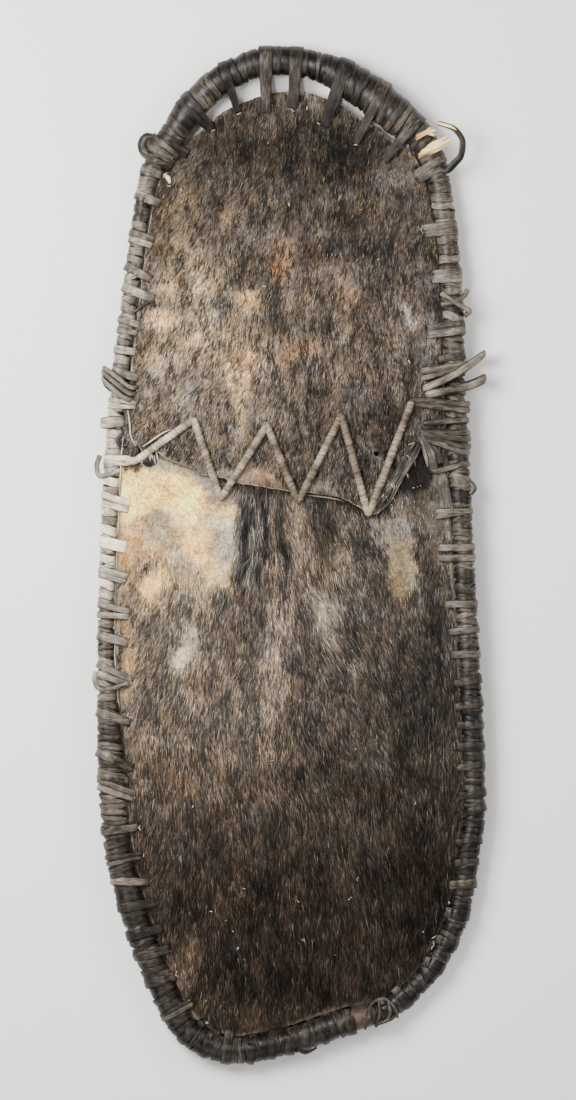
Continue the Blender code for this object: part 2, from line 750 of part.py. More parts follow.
def make_grip():
    """Cane strands across the back, looped round both sides of the rim, with a bound handle."""
    loops = bmesh.new()
    ends = []
    for s, slack in grip_stations():
        spot, tip = slit_place(s)
        flat_radius = RIM.thickness(s) / 2 + STRAP_CLEARANCE
        middle = hide_surface(*spot, True)
        lines = loop_profile(s, flat_radius, STRAP_THICKNESS, tip, middle, slack, STRAP_CLEARANCE)
        add_loop(loops, s, lines, STRAP_WIDTH)
        under = RIM.lift(s) - STRAP_CLEARANCE - STRAP_THICKNESS / 2
        inner = RIM.point(s) + RIM.inward(s) * RIM.thickness(s) / 2
        ends.append(Vector((inner[0], inner[1], under)))
    grip = new_object("grip", loops, CANE)
    right, left = ends
    middle = left.lerp(right, 0.5)
    middle.z = HANDLE_STAND + HANDLE_DEPTH / 2
    strap = bmesh.new()
    rings = []
    inside = STRAP_DIP_SPAN / 2
    for share in (0.0, 0.5 - inside, 0.5 + inside, 1.0):
        at = left.lerp(right, share)
        if 0.0 < share < 1.0:
            at.z = middle.z
        half, thick = STRAP_WIDTH / 2, STRAP_THICKNESS / 2
        corners = ((-half, -thick), (half, -thick), (half, thick), (-half, thick))
        rings.append([(at.x, at.y + a, at.z + b) for a, b in corners])
    skin(strap, rings)
    join(grip, new_object("grip_strap", strap, cutter=True), "UNION")
    handle = bmesh.new()
    rings = []
    for end in (-HANDLE_LENGTH / 2, HANDLE_LENGTH / 2):
        ring = []
        for i in range(SIDES):
            angle = (2 * i + 1) * HALF_SIDE
            y = middle.y + HANDLE_WIDTH / 2 / FLAT * math.cos(angle)
            z = middle.z + HANDLE_DEPTH / 2 / FLAT * math.sin(angle)
            ring.append((middle.x + end, y, z))
        rings.append(ring)
    skin(handle, rings)
    join(grip, new_object("grip_handle", handle, cutter=True), "UNION")
    return grip


def make_cutters(lashes):
    """Every slit and hole in the hides, as one hidden object."""
    bm = bmesh.new()
    thick = STRIP_THICKNESS + 2 * SLIT_CLEARANCE
    for s, width, _ in lashes:
        spot, _ = slit_place(s)
        z = hide_surface(*spot, is_upper(spot[1]))
        along = width + 2 * SLIT_CLEARANCE
        add_box(bm, spot, RIM.inward(s), RIM.tangent(s), thick, along, z - CUT_DEPTH, z + CUT_DEPTH)
    for s, _ in grip_stations():
        spot, _ = slit_place(s)
        z = hide_surface(*spot, True)
        across = STRAP_THICKNESS + 2 * STRAP_CLEARANCE
        along = STRAP_WIDTH + 2 * STRAP_CLEARANCE
        add_box(bm, spot, RIM.inward(s), RIM.tangent(s), across, along, z - CUT_DEPTH, z + CUT_DEPTH)
    holes = [(spot, PEG_RADIUS + PEG_CLEARANCE) for spot, _ in peg_places()]
    holes.append((place(OLD_HOLE), OLD_HOLE_RADIUS))
    for spot, radius in holes:
        z = dome_z(*spot)
        add_peg(bm, spot, radius, z - CUT_DEPTH, z + CUT_DEPTH)
    return new_object("hide_cutters", bm, cutter=True)


def make_curl():
    """The loose end of a lashing strip, which springs off the right shoulder and back."""
    outer, tangent = RIM.point(RIGHT_S), RIM.tangent(RIGHT_S)
    outward = -RIM.inward(RIGHT_S)
    centre = outer - outward * CURL_CENTRE_INSET
    root_z = RIM.lift(RIGHT_S) + RIM.thickness(RIGHT_S) / 2
    wall_middle = (STRIP_THICKNESS - BINDING_GAP - JOINT_EXTRA) / 2
    start = -math.acos((CURL_CENTRE_INSET - wall_middle) / CURL_RADIUS)
    rings = []
    for i in range(CURL_STEPS + 1):
        share = i / CURL_STEPS
        angle = start + (math.radians(CURL_END) - start) * share
        spoke = outward * math.cos(angle) - tangent * math.sin(angle)
        middle = centre + spoke * CURL_RADIUS
        z = root_z + CURL_RISE * share
        lean = math.radians(CURL_LEAN * share)
        ring = []
        for a, b in ((-1, -1), (1, -1), (1, 1), (-1, 1)):
            broad, thin = b * CURL_WIDTH / 2, a * STRIP_THICKNESS / 2
            flat = middle + spoke * (thin * math.cos(lean) + broad * math.sin(lean))
            ring.append((*flat, z + broad * math.cos(lean) - thin * math.sin(lean)))
        rings.append(ring)
    bm = bmesh.new()
    skin(bm, rings)
    return new_object("loose_strip_end", bm, cutter=True)


def make_splinter():
    """The broken end of a thick strip, which sticks out across the right shoulder."""
    middle = RIM.point(RIGHT_S) + RIM.inward(RIGHT_S) * RIM.thickness(RIGHT_S) / 2
    low = RIM.lift(RIGHT_S) + RIM.thickness(RIGHT_S) + JOINT_EXTRA - SPLINTER_BITE
    turn = math.radians(SPLINTER_TURN)
    along = np.array([math.cos(turn), math.sin(turn)])
    side = np.array([-math.sin(turn), math.cos(turn)])
    rings = []
    for share, width, depth in SPLINTER_PROFILE:
        at = middle + along * SPLINTER_LENGTH * (share - 0.5)
        half, high = SPLINTER_WIDTH * width / 2, low + SPLINTER_DEPTH * depth
        foot, head = at + side * half, at + side * half * 0.7
        rings.append([(*(2 * at - foot), low), (*foot, low), (*head, high), (*(2 * at - head), high)])
    bm = bmesh.new()
    skin(bm, rings)
    return new_object("broken_strip_end", bm, cutter=True)


def build():
    for old in list(bpy.data.objects):
        bpy.data.objects.remove(old)
    lashes = lash_list()
    cutters = make_cutters(lashes)
    make_rod("arch_rod", 0.0, RIGHT_S)
    make_rod("hoop_rod", RIGHT_S, RIM.length)
    foot, gap_right = RIM.settled(FOOT_LEFT), RIM.settled(BREAK_RIGHT)
    gap_left = RIM.settled(BREAK_LEFT)
    left_before, _, left_after = RIM.left_joint
    right_before, _, right_after = RIM.right_joint
    stretches = [
        ("arch_binding", left_after, right_before, 0.0),
        ("right_shoulder_lashing", right_before, right_after, JOINT_EXTRA),
        ("right_binding", right_after, gap_right, 0.0),
        ("foot_binding", gap_left, foot, 0.0),
        ("left_binding", foot, RIM.length + left_before, 0.0),
        ("left_shoulder_lashing", left_before, left_after, JOINT_EXTRA),
    ]
    for name, start, end, extra in stretches:
        mine = [lash for lash in lashes if within(lash[0], start, end)]
        sleeve = make_sleeve(name, start, end, mine, extra)
        if name == "right_shoulder_lashing":
            join(sleeve, make_curl(), "UNION")
            join(sleeve, make_splinter(), "UNION")
    make_hide("upper_hide", True, UPPER_HIDE_MIDDLE, cutters)
    make_hide("lower_hide", False, LOWER_HIDE_MIDDLE, cutters)
    make_seam_cord()
    make_grip()


build()
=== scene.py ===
"""How the hide shield looks: its cane turn by turn, its two hides with their hair, and the cord.

A place written as a pair of photo pixels lies on the shield's face, one millimetre a pixel.
Everything else is in metres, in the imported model's frame, unless its comment says otherwise.
"""

import math

import bpy
import numpy as np
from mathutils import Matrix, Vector
from mathutils.geometry import delaunay_2d_cdt


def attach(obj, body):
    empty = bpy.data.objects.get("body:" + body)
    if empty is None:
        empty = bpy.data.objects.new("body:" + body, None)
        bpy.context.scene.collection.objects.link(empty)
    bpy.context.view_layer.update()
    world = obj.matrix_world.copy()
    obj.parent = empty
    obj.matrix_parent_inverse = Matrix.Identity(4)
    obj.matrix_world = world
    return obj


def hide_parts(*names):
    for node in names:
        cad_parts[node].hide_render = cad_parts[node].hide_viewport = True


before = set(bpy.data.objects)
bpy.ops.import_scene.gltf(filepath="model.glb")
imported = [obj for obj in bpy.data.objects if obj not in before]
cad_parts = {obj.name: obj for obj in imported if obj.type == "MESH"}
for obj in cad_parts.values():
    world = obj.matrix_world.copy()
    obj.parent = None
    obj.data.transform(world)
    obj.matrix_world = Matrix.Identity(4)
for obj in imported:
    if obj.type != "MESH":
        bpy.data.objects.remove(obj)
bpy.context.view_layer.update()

MIDDLE_PX = (291.5, 555)  # the photo pixel over the frame's origin

# The shield's plan and sizes, as the CAD source has them
HALF = np.array([0.195, 0.510])
# Points of the rim's outer edge as shares of HALF, with its thickness, clockwise from the left
# shoulder
RIM_OUTLINE = [
    (-0.723, 0.795, 0.025), (-0.595, 0.885, 0.03), (-0.405, 0.956, 0.03), (-0.154, 0.997, 0.03),
    (0.118, 0.991, 0.03), (0.374, 0.956, 0.038), (0.615, 0.885, 0.038), (0.774, 0.795, 0.025),
    (0.841, 0.668, 0.022), (0.882, 0.501, 0.022), (0.892, 0.344, 0.022), (0.928, 0.07, 0.022),
    (0.995, -0.44, 0.022), (0.969, -0.577, 0.022), (0.903, -0.719, 0.022), (0.759, -0.828, 0.022),
    (0.528, -0.909, 0.022), (0.272, -0.946, 0.027), (-0.01, -0.981, 0.027),
    (-0.328, -0.999, 0.027), (-0.585, -0.952, 0.027), (-0.749, -0.842, 0.027),
    (-0.872, -0.715, 0.027), (-0.964, -0.568, 0.027), (-0.995, -0.401, 0.027),
    (-0.995, -0.185, 0.017), (-0.979, 0.05, 0.017), (-0.949, 0.246, 0.017),
    (-0.897, 0.432, 0.017), (-0.795, 0.717, 0.017),
]
UPPER_EDGE = [
    (136, 441), (142, 451), (150, 449), (158, 453), (166, 459), (178, 464), (190, 468),
    (200, 475), (212, 476), (227, 480), (242, 484), (256, 486), (277, 490), (293, 492),
    (309, 493), (327, 496), (343, 499), (358, 507), (371, 514), (380, 511), (389, 498),
    (399, 483), (409, 465), (417, 452), (424, 446), (434, 452), (441, 455),
]
LOWER_EDGE = [
    (128, 447), (150, 443), (204, 449), (262, 456), (321, 463), (372, 460), (400, 449),
    (412, 440), (423, 445), (430, 454), (437, 460), (445, 463),
]
TORN_HOLE = [(141, 452), (147, 449), (155, 455), (158, 463), (151, 467), (144, 465)]
OLD_HOLE = (376, 454)
STRIP = 0.0022  # thickness of split cane
LASH_STAND = 0.0014  # how far the rim's ends are off the ground, for the lashes behind it
RIM_BOW = 0.012  # how much higher the rim lies at mid length than at its ends
SKIN = 0.003  # thickness of a hide
HIDE_SEAT = 0.0125  # a hide's middle surface over the rim's back, at its edge
HIDE_EDGE_GAP = 0.0016  # between the rim and a hide's edge
# The gap between the arch and the hide: its width, where it is widest, and how it tapers
ARCH_WINDOW = 0.016
WINDOW_SKEW = 0.75
WINDOW_SLOPE = 3.0
JOINT_EXTRA = 0.0013  # how much further in the hides' edge lies at a shoulder joint
JOINT_HALF = 0.027  # half the length of a shoulder lashing along the rim
DOME = 0.022  # how much higher a hide's middle is than its edge
SEAM_GAP = 0.0012  # between the two hides at the seam
# How far above the lower hide's edge the upper hide starts to come down, and over what length
SEAM_FLAT = 0.006
SEAM_RAMP = 0.120

# Sizes of the looks alone
RIM_STEPS = 24  # fine steps between two points of RIM_OUTLINE
RIGHT_SHOULDER = 7  # the row of RIM_OUTLINE at the right shoulder
RELIEF_FADE = 0.03  # how far inside the rim the dents reach their full depth
SEAM_LEVEL = 0.095  # y over which a lash or an end at the rim is on the upper hide
FLECK_LEVEL = 0.06  # y over which a fleck is on the upper hide
GRID = 0.0036  # between the points of a hide's net
LOWEST = 0.0002  # no strip goes lower than this
NARROWEST_TURN = 0.003
TURN_STEPS = 25  # points round a turn
STRAND_STEPS = 6  # fine steps between two points of a strand
SEEDS = 50  # the streaks' seeds are drawn from 0 to this
SCREEN_GAIN, SCREEN_GAMMA = 0.86, 2.2  # from a colour on a screen to light

# A cane strip's section: across as a share of its half width, out as a share of its thickness
FLAT_STRIP = np.array([
    (-1.0, 0.0), (-0.96, 0.76), (-0.5, 0.97), (0.45, 1.0), (0.95, 0.8), (1.0, 0.0),
])
ROUND_STRAND = np.array([
    (-1.0, 0.5), (-0.7, 0.9), (0.0, 1.1), (0.7, 0.9), (1.0, 0.5), (0.65, 0.08), (0.0, -0.05),
    (-0.65, 0.08),
])

# Lashes of the arch: root and tip in photo pixels, widths there in millimetres, strands, shade;
# the low shades are partly the cane's own tone, partly a painted falloff of the light at the top.
ARCH_LASHES = [
    ((146, 136), (187, 154), 10, 9, 2, 0.19), ((183, 98), (211, 129), 17, 8, 2, 0.19),
    ((221, 61), (238, 112), 9, 6, 1, 0.15), ((266, 46), (266, 113), 13, 8, 1, 0.11),
    ((296, 46), (293, 108), 13, 8, 1, 0.13), ((348, 62), (325, 124), 14, 8, 1, 0.17),
    ((386, 83), (356, 142), 10, 6, 1, 0.23), ((418, 119), (384, 160), 10, 7, 1, 0.21),
]
# Lashes of the sides and the foot: root, tip, width in millimetres, strands, shade. The shades
# peak at the middle of the left side and fall towards the foot: partly the cane's own tone,
# partly a painted pool of light.
SIDE_LASHES = [
    ((450, 160), (417, 177), 15, 2, 0.36), ((457, 226), (424, 231), 14, 2, 0.39),
    ((461, 269), (435, 273), 6, 1, 0.39), ((462, 279), (433, 279), 9, 1, 0.47),
    ((465, 327), (427, 332), 15, 2, 0.38), ((465, 354), (437, 360), 7, 1, 0.3),
    ((470, 512), (437, 514), 11, 2, 0.37), ((471, 545), (439, 548), 7, 1, 0.45),
    ((472, 555), (441, 558), 7, 1, 0.43), ((476, 600), (447, 604), 7, 1, 0.31),
    ((477, 625), (449, 632), 7, 1, 0.33), ((478, 651), (450, 655), 7, 1, 0.31),
    ((480, 683), (455, 684), 8, 1, 0.22), ((481, 705), (457, 707), 8, 1, 0.2),
    ((482, 724), (457, 725), 7, 1, 0.18), ((483, 745), (457, 747), 8, 1, 0.18),
    ((485, 762), (457, 768), 7, 1, 0.19), ((485, 790), (460, 796), 7, 1, 0.16),
    ((484, 808), (459, 815), 7, 1, 0.17), ((480, 840), (457, 843), 8, 1, 0.16),
    ((478, 860), (455, 863), 7, 1, 0.15), ((475, 884), (450, 885), 9, 1, 0.16),
    ((469, 915), (445, 912), 10, 1, 0.14), ((461, 947), (437, 939), 9, 1, 0.14),
    ((449, 975), (425, 961), 10, 1, 0.16), ((410, 1006), (394, 988), 9, 1, 0.13),
    ((392, 1022), (381, 999), 6, 1, 0.13), ((355, 1038), (348, 1014), 8, 1, 0.12),
    ((327, 1047), (321, 1028), 6, 1, 0.11), ((306, 1054), (304, 1035), 9, 1, 0.12),
    ((290, 1058), (290, 1031), 9, 1, 0.15), ((271, 1061), (273, 1033), 7, 1, 0.16),
    ((250, 1063), (253, 1035), 7, 1, 0.15), ((225, 1066), (229, 1033), 9, 1, 0.15),
    ((199, 1058), (216, 1031), 9, 1, 0.15), ((180, 1042), (203, 1022), 8, 1, 0.16),
    ((163, 1018), (190, 1003), 10, 2, 0.18), ((145, 986), (175, 976), 9, 1, 0.18),
    ((134, 957), (168, 949), 10, 2, 0.2), ((127, 938), (162, 928), 9, 1, 0.2),
    ((118, 909), (154, 903), 9, 1, 0.18), ((110, 879), (148, 882), 8, 1, 0.29),
    ((106, 861), (141, 855), 8, 2, 0.29), ((101, 830), (137, 827), 8, 1, 0.3),
    ((98, 783), (134, 796), 12, 2, 0.31), ((98, 774), (126, 780), 7, 1, 0.31),
    ((98, 752), (131, 767), 9, 1, 0.31), ((98, 712), (129, 722), 9, 1, 0.33),
    ((97, 669), (130, 682), 13, 2, 0.37), ((98, 634), (128, 643), 9, 1, 0.45),
    ((99, 609), (129, 614), 12, 2, 0.53), ((100, 573), (126, 579), 12, 2, 0.61),
    ((101, 541), (125, 547), 13, 2, 0.82), ((103, 500), (127, 506), 14, 2, 0.82),
    ((104, 459), (130, 461), 11, 2, 0.82), ((110, 403), (134, 405), 9, 2, 0.61),
    ((115, 370), (136, 378), 8, 1, 0.61), ((116, 349), (135, 352), 8, 1, 0.59),
    ((119, 321), (139, 325), 7, 1, 0.49), ((119, 330), (135, 333), 6, 1, 0.46),
    ((122, 289), (152, 299), 9, 1, 0.46), ((127, 267), (150, 279), 8, 1, 0.44),
    ((129, 241), (151, 245), 7, 1, 0.41), ((131, 231), (152, 239), 7, 1, 0.47),
    ((137, 193), (158, 203), 9, 1, 0.39), ((140, 168), (160, 174), 10, 1, 0.35),
]
# Specks of dry skin and fibre caught on the hair
FLECKS = [
    (208, 112), (213, 107), (219, 103), (223, 100), (228, 98), (169, 186), (181, 190), (264, 287),
    (318, 235), (211, 911), (226, 920), (233, 931), (244, 888), (248, 886), (238, 948),
    (358, 877), (357, 879), (349, 899), (351, 897), (335, 955), (423, 932), (152, 792),
    (193, 747), (211, 724), (355, 748), (272, 760), (398, 730), (393, 694), (415, 803),
    (193, 806), (303, 940), (298, 901), (413, 488), (417, 487), (420, 486), (414, 502),
    (391, 505), (392, 509), (181, 233), (254, 240), (289, 205), (332, 255), (205, 300),
    (230, 330), (378, 260), (360, 210), (270, 200), (180, 1000), (206, 1001), (224, 1002),
    (162, 700), (240, 660), (300, 700), (330, 610), (352, 650), (268, 143), (307, 108),
    (272, 105), (272, 101), (162, 287), (158, 289), (405, 364), (409, 362),
]
# Tips of the lashes where the hide is lifted into a pale lip
LIPS = [
    (291, 109), (238, 113), (325, 125), (356, 143), (384, 161), (211, 130), (129, 768),
    (134, 797), (138, 829), (143, 856), (168, 950), (176, 977), (190, 1003), (229, 1032),
    (216, 1033), (204, 1022), (436, 940), (433, 948), (450, 904), (423, 231), (130, 682),
    (129, 722),
]

# Patches on the hides: middle and reach in photo pixels, turn in degrees, colour, strength and
# how bare of hair it is. Their colours are darker towards the shield's top and bottom and
# brightest in its middle: partly the hide's own colour, partly a painted falloff of the light.
UPPER_PATCHES = [
    (165, 215, 40, 60, 10, (84, 74, 62), 0.85, 0.1),
    (185, 318, 50, 80, 8, (184, 162, 135), 0.9, 0.15),
    (162, 322, 14, 14, 0, (236, 196, 148), 0.8, 0.4),
    (150, 416, 14, 20, 0, (176, 150, 122), 0.8, 0.2),
    (180, 400, 34, 34, 0, (152, 136, 118), 0.8, 0.1),
    (240, 360, 50, 50, 0, (164, 145, 124), 0.85, 0.1),
    (245, 410, 44, 32, 0, (150, 138, 122), 0.7, 0.0),
    (227, 216, 12, 9, 0, (176, 148, 118), 0.7, 0.2),
    (247, 301, 13, 12, 0, (232, 190, 146), 0.8, 0.25),
    (292, 353, 14, 13, 0, (186, 150, 118), 0.75, 0.3),
    (280, 262, 16, 24, 0, (156, 122, 96), 0.8, 0.1),
    (248, 370, 14, 20, 0, (214, 172, 140), 0.7, 0.2),
    (308, 250, 12, 26, 0, (76, 66, 60), 0.8, 0.0), (222, 318, 9, 22, 0, (92, 88, 86), 0.8, 0.0),
    (200, 318, 8, 16, 0, (118, 106, 92), 0.5, 0.0),
    (280, 330, 14, 30, 0, (104, 92, 80), 0.6, 0.0),
    (262, 392, 20, 16, 10, (104, 92, 82), 0.6, 0.0),
    (196, 385, 26, 22, 10, (124, 112, 102), 0.6, 0.0),
    (150, 378, 14, 14, 0, (126, 114, 104), 0.6, 0.0),
    (244, 410, 28, 18, -20, (88, 82, 78), 0.7, 0.0),
    (348, 280, 20, 28, 0, (134, 120, 110), 0.8, 0.1),
    (352, 300, 20, 12, 0, (144, 118, 100), 0.7, 0.2),
    (395, 330, 28, 16, 0, (116, 106, 96), 0.7, 0.2),
    (311, 348, 11, 12, 0, (166, 126, 98), 0.7, 0.1),
    (300, 160, 90, 44, 0, (56, 50, 44), 0.9, 0.0), (220, 130, 60, 34, 20, (62, 54, 47), 0.8, 0.0),
    (345, 145, 34, 30, 0, (50, 46, 42), 0.8, 0.1), (380, 250, 40, 50, 0, (76, 69, 63), 0.7, 0.0),
    (318, 228, 10, 34, 5, (112, 98, 84), 0.5, 0.1), (335, 210, 44, 30, 0, (72, 64, 57), 0.6, 0.0),
    (398, 178, 22, 22, 30, (82, 77, 72), 0.85, 0.9),
    (232, 378, 10, 56, 12, (212, 182, 142), 0.8, 0.2),
    (340, 365, 44, 36, 0, (130, 116, 104), 0.6, 0.0),
    (409, 205, 26, 34, 0, (88, 79, 72), 0.7, 0.35),
    (420, 275, 14, 28, 0, (110, 100, 91), 0.6, 0.5),
    (427, 335, 10, 50, 0, (124, 117, 109), 0.7, 0.75),
    (409, 316, 4, 15, 3, (160, 156, 151), 1.0, 1.0),
    (290, 440, 34, 30, 0, (112, 100, 90), 0.6, 0.0),
    (365, 430, 60, 50, 0, (84, 76, 70), 0.7, 0.0), (320, 480, 44, 14, 8, (88, 80, 72), 0.7, 0.3),
    # The second patch on the next line is a dark band left of the torn strip: dark hair with
    # painted shade.
    (398, 482, 6, 34, 31, (90, 84, 78), 0.9, 1.0), (391, 466, 4, 40, 31, (44, 41, 40), 0.9, 0.2),
    (408, 424, 7, 14, 10, (70, 66, 62), 0.8, 0.6),
]
LOWER_PATCHES = [
    (290, 930, 200, 140, 0, (56, 47, 40), 0.95, 0.0),
    (290, 800, 200, 60, 0, (74, 65, 57), 0.6, 0.0),
    (190, 700, 86, 96, 0, (122, 108, 93), 0.85, 0.1),
    (190, 640, 14, 36, 12, (176, 160, 138), 0.8, 0.6),
    (138, 640, 14, 60, 0, (136, 120, 102), 0.7, 0.4),
    (138, 745, 12, 50, 0, (128, 110, 92), 0.8, 0.6),
    (196, 690, 12, 18, 0, (136, 112, 94), 0.6, 0.1),
    (247, 596, 9, 12, 0, (148, 96, 70), 0.8, 0.1), (262, 620, 9, 44, 0, (70, 66, 62), 0.8, 0.0),
    (296, 640, 8, 60, -8, (74, 68, 63), 0.7, 0.0), (220, 600, 24, 14, 0, (84, 76, 68), 0.6, 0.0),
    (277, 650, 14, 120, -4, (176, 154, 132), 0.85, 0.4),
    (345, 600, 24, 60, -24, (108, 99, 90), 0.8, 0.0),
    (448, 520, 8, 60, 0, (122, 112, 100), 0.8, 0.9),
    (430, 595, 13, 46, 8, (64, 60, 56), 0.85, 0.0),
    (335, 670, 40, 60, 0, (112, 100, 88), 0.8, 0.1),
    (415, 710, 46, 80, 0, (54, 50, 46), 0.95, 0.0), (350, 730, 60, 60, 0, (76, 68, 61), 0.7, 0.0),
    (200, 780, 44, 30, 0, (112, 94, 78), 0.7, 0.1),
    (180, 775, 10, 12, 0, (116, 92, 74), 0.6, 0.1), (215, 815, 14, 16, 0, (90, 73, 61), 0.6, 0.0),
    (400, 790, 40, 26, 0, (70, 60, 52), 0.6, 0.0), (430, 880, 50, 90, 10, (42, 36, 31), 0.8, 0.0),
    (225, 875, 16, 26, 0, (76, 63, 51), 0.6, 0.1), (255, 955, 14, 18, 0, (66, 52, 42), 0.6, 0.2),
    (180, 970, 12, 50, -20, (112, 93, 74), 0.9, 0.6),
    (150, 870, 12, 60, -8, (84, 72, 60), 0.7, 0.2),
    (194, 1006, 12, 18, -40, (106, 90, 72), 0.8, 0.5),
    (265, 1018, 22, 9, 0, (70, 58, 46), 0.85, 0.7), (290, 985, 60, 22, 0, (40, 35, 30), 0.7, 0.0),
    # A near-black spot at the old hole in the upper hide: painted shade in the hole.
    (376, 454, 5, 5, 0, (10, 9, 8), 1.0, 1.0),
]
# Areas with a shape of their own: outline in photo pixels, how soft their edge is in
# millimetres, colour, and how bare of hair
LOWER_AREAS = [
    ([(150, 450), (172, 455), (196, 462), (214, 472), (228, 480), (222, 490), (206, 486),
     (192, 480), (172, 474), (150, 472)], 4, (150, 136, 116), 0.95),
    # Painted shade: a near-black area on the lower hide for the deep hollow under the torn corner.
    ([(402, 474), (410, 450), (414, 438), (430, 446), (446, 458), (446, 470), (430, 474),
     (428, 484), (420, 494), (404, 494)], 6, (40, 36, 34), 0.9),
    ([(384, 508), (400, 494), (424, 494), (432, 502), (424, 514), (400, 514)], 9, (106, 98, 90),
     0.7),
    ([(118, 520), (150, 514), (172, 520), (184, 545), (174, 562), (150, 574), (128, 578),
     (118, 562)], 14, (196, 160, 116), 0.9),
    ([(128, 560), (172, 552), (184, 580), (176, 612), (150, 622), (136, 606)], 16,
     (158, 134, 108), 0.45),
    ([(208, 490), (228, 492), (243, 500), (247, 514), (240, 526), (243, 540), (236, 554),
     (239, 568), (232, 580), (236, 590), (216, 586), (204, 594), (192, 586), (188, 568),
     (176, 548), (168, 518), (190, 508)], 13, (220, 188, 140), 0.97),
    ([(186, 520), (202, 518), (208, 540), (204, 570), (206, 590), (192, 584), (188, 556)], 9,
     (256, 212, 142), 1.0),
    ([(214, 520), (232, 518), (240, 540), (234, 566), (222, 574), (212, 550)], 10,
     (190, 172, 148), 1.0),
    ([(172, 540), (190, 556), (206, 578), (212, 606), (196, 612), (180, 590), (168, 566)], 16,
     (168, 150, 126), 0.6),
    ([(116, 462), (140, 466), (158, 470), (172, 472), (192, 478), (208, 488), (212, 502),
     (204, 512), (190, 514), (176, 518), (160, 512), (140, 516), (118, 522)], 8, (300, 238, 152),
     1.0),
    ([(186, 512), (192, 508), (200, 512), (202, 520), (194, 524), (187, 520)], 5, (296, 252, 172),
     1.0),
    ([(150, 512), (168, 510), (174, 524), (166, 546), (150, 548), (144, 530)], 8, (176, 156, 126),
     0.95),
    ([(120, 534), (130, 530), (146, 536), (144, 552), (130, 560), (120, 552)], 7, (192, 150, 108),
     0.9),
    ([(142, 572), (162, 568), (170, 576), (162, 592), (148, 602), (140, 592)], 8, (232, 190, 130),
     0.85),
    ([(118, 560), (130, 570), (134, 640), (130, 700), (122, 700)], 8, (166, 138, 110), 0.7),
    ([(180, 634), (190, 628), (196, 650), (188, 668), (176, 676), (172, 660)], 9, (200, 180, 152),
     0.8),
    ([(214, 488), (228, 484), (240, 490), (244, 500), (236, 506), (222, 504), (212, 498)], 6,
     (136, 122, 106), 0.95),
    ([(240, 492), (262, 488), (270, 500), (266, 560), (254, 600), (242, 592), (238, 560),
     (238, 520)], 14, (104, 98, 92), 0.0),
    ([(243, 496), (248, 494), (250, 530), (249, 566), (246, 598), (242, 590), (244, 550)], 4,
     (52, 50, 49), 0.0),
    ([(252, 494), (256, 492), (259, 530), (257, 560), (254, 592), (251, 560)], 4, (146, 136, 124),
     0.0),
    ([(260, 490), (264, 490), (266, 530), (264, 570), (260, 596), (259, 550)], 4, (56, 52, 49),
     0.0),
    ([(268, 500), (272, 500), (275, 540), (272, 590), (268, 560)], 4, (142, 124, 104), 0.1),
    ([(278, 496), (283, 496), (286, 540), (284, 600), (279, 560)], 5, (64, 58, 53), 0.0),
    ([(288, 500), (308, 506), (314, 550), (312, 600), (300, 596), (292, 560)], 12,
     (142, 124, 106), 0.45),
    ([(308, 576), (326, 580), (336, 610), (334, 640), (318, 640), (310, 610)], 12,
     (160, 146, 128), 0.7),
    ([(330, 536), (344, 538), (354, 560), (352, 582), (338, 580), (330, 560)], 12,
     (124, 113, 100), 0.4),
    ([(366, 520), (392, 512), (416, 520), (414, 548), (396, 552), (376, 546)], 12,
     (142, 133, 122), 0.7),
    ([(384, 544), (404, 540), (414, 556), (412, 590), (400, 600), (388, 592), (382, 566)], 9,
     (158, 142, 118), 0.9),
    ([(386, 572), (396, 570), (400, 588), (392, 598), (386, 590)], 5, (150, 128, 104), 0.9),
    ([(414, 500), (436, 498), (446, 504), (444, 560), (436, 566), (430, 548), (420, 530)], 8,
     (108, 97, 86), 0.85),
]
UPPER_AREAS = [
    ([(204, 474), (222, 480), (262, 486), (262, 476), (240, 466), (216, 462)], 7, (140, 122, 106),
     0.55),
    ([(248, 468), (262, 462), (276, 474), (284, 488), (268, 488), (254, 484)], 7, (134, 112, 96),
     0.8),
    ([(300, 484), (322, 486), (342, 490), (346, 497), (326, 496), (302, 492)], 6, (118, 108, 98),
     0.8),
    ([(160, 452), (190, 464), (204, 472), (190, 466), (162, 458)], 5, (128, 118, 108), 0.8),
]
# By hide, True for the upper one: the colour under the patches, and how strong the mottle is
BASE = {True: (98, 88, 78), False: (90, 80, 70)}
MOTTLE = {True: 1.25, False: 0.95}

HAIR_PIECES = 4
HAIR_DENSITY = {True: 0.62, False: 0.56}  # to a square millimetre
HAIR_LENGTH = {True: (0.004, 0.0075), False: (0.006, 0.013)}
PALE_HAIRS = {True: 0.02, False: 0.025}  # share of them
HAIR_GAIN = {True: 1.45, False: 2.55}
FRINGE = 0.0016  # how far the upper hide's hair may pass its lower edge
# Longer hair on the spine: middle and reach in photo pixels, and how much is added to its length
LONG_HAIR = [(258, 535, 18, 50, 1.1), (305, 590, 26, 46, 0.9), (345, 640, 26, 40, 0.5)]

CORD_CORNERS = [
    (128, 461), (136, 461), (194, 420), (221, 499), (267, 426), (298, 502), (341, 416),
    (368, 515), (411, 403),
]
CORD_DIPS = [(0, 1.0), (4, 0.35), (9, 0.0)]  # millimetres from a corner, and how deep it dips there
CORD_RADIUS = 0.0037
WRAP = 0.0042  # length of the cord that one turn of its wrapping takes

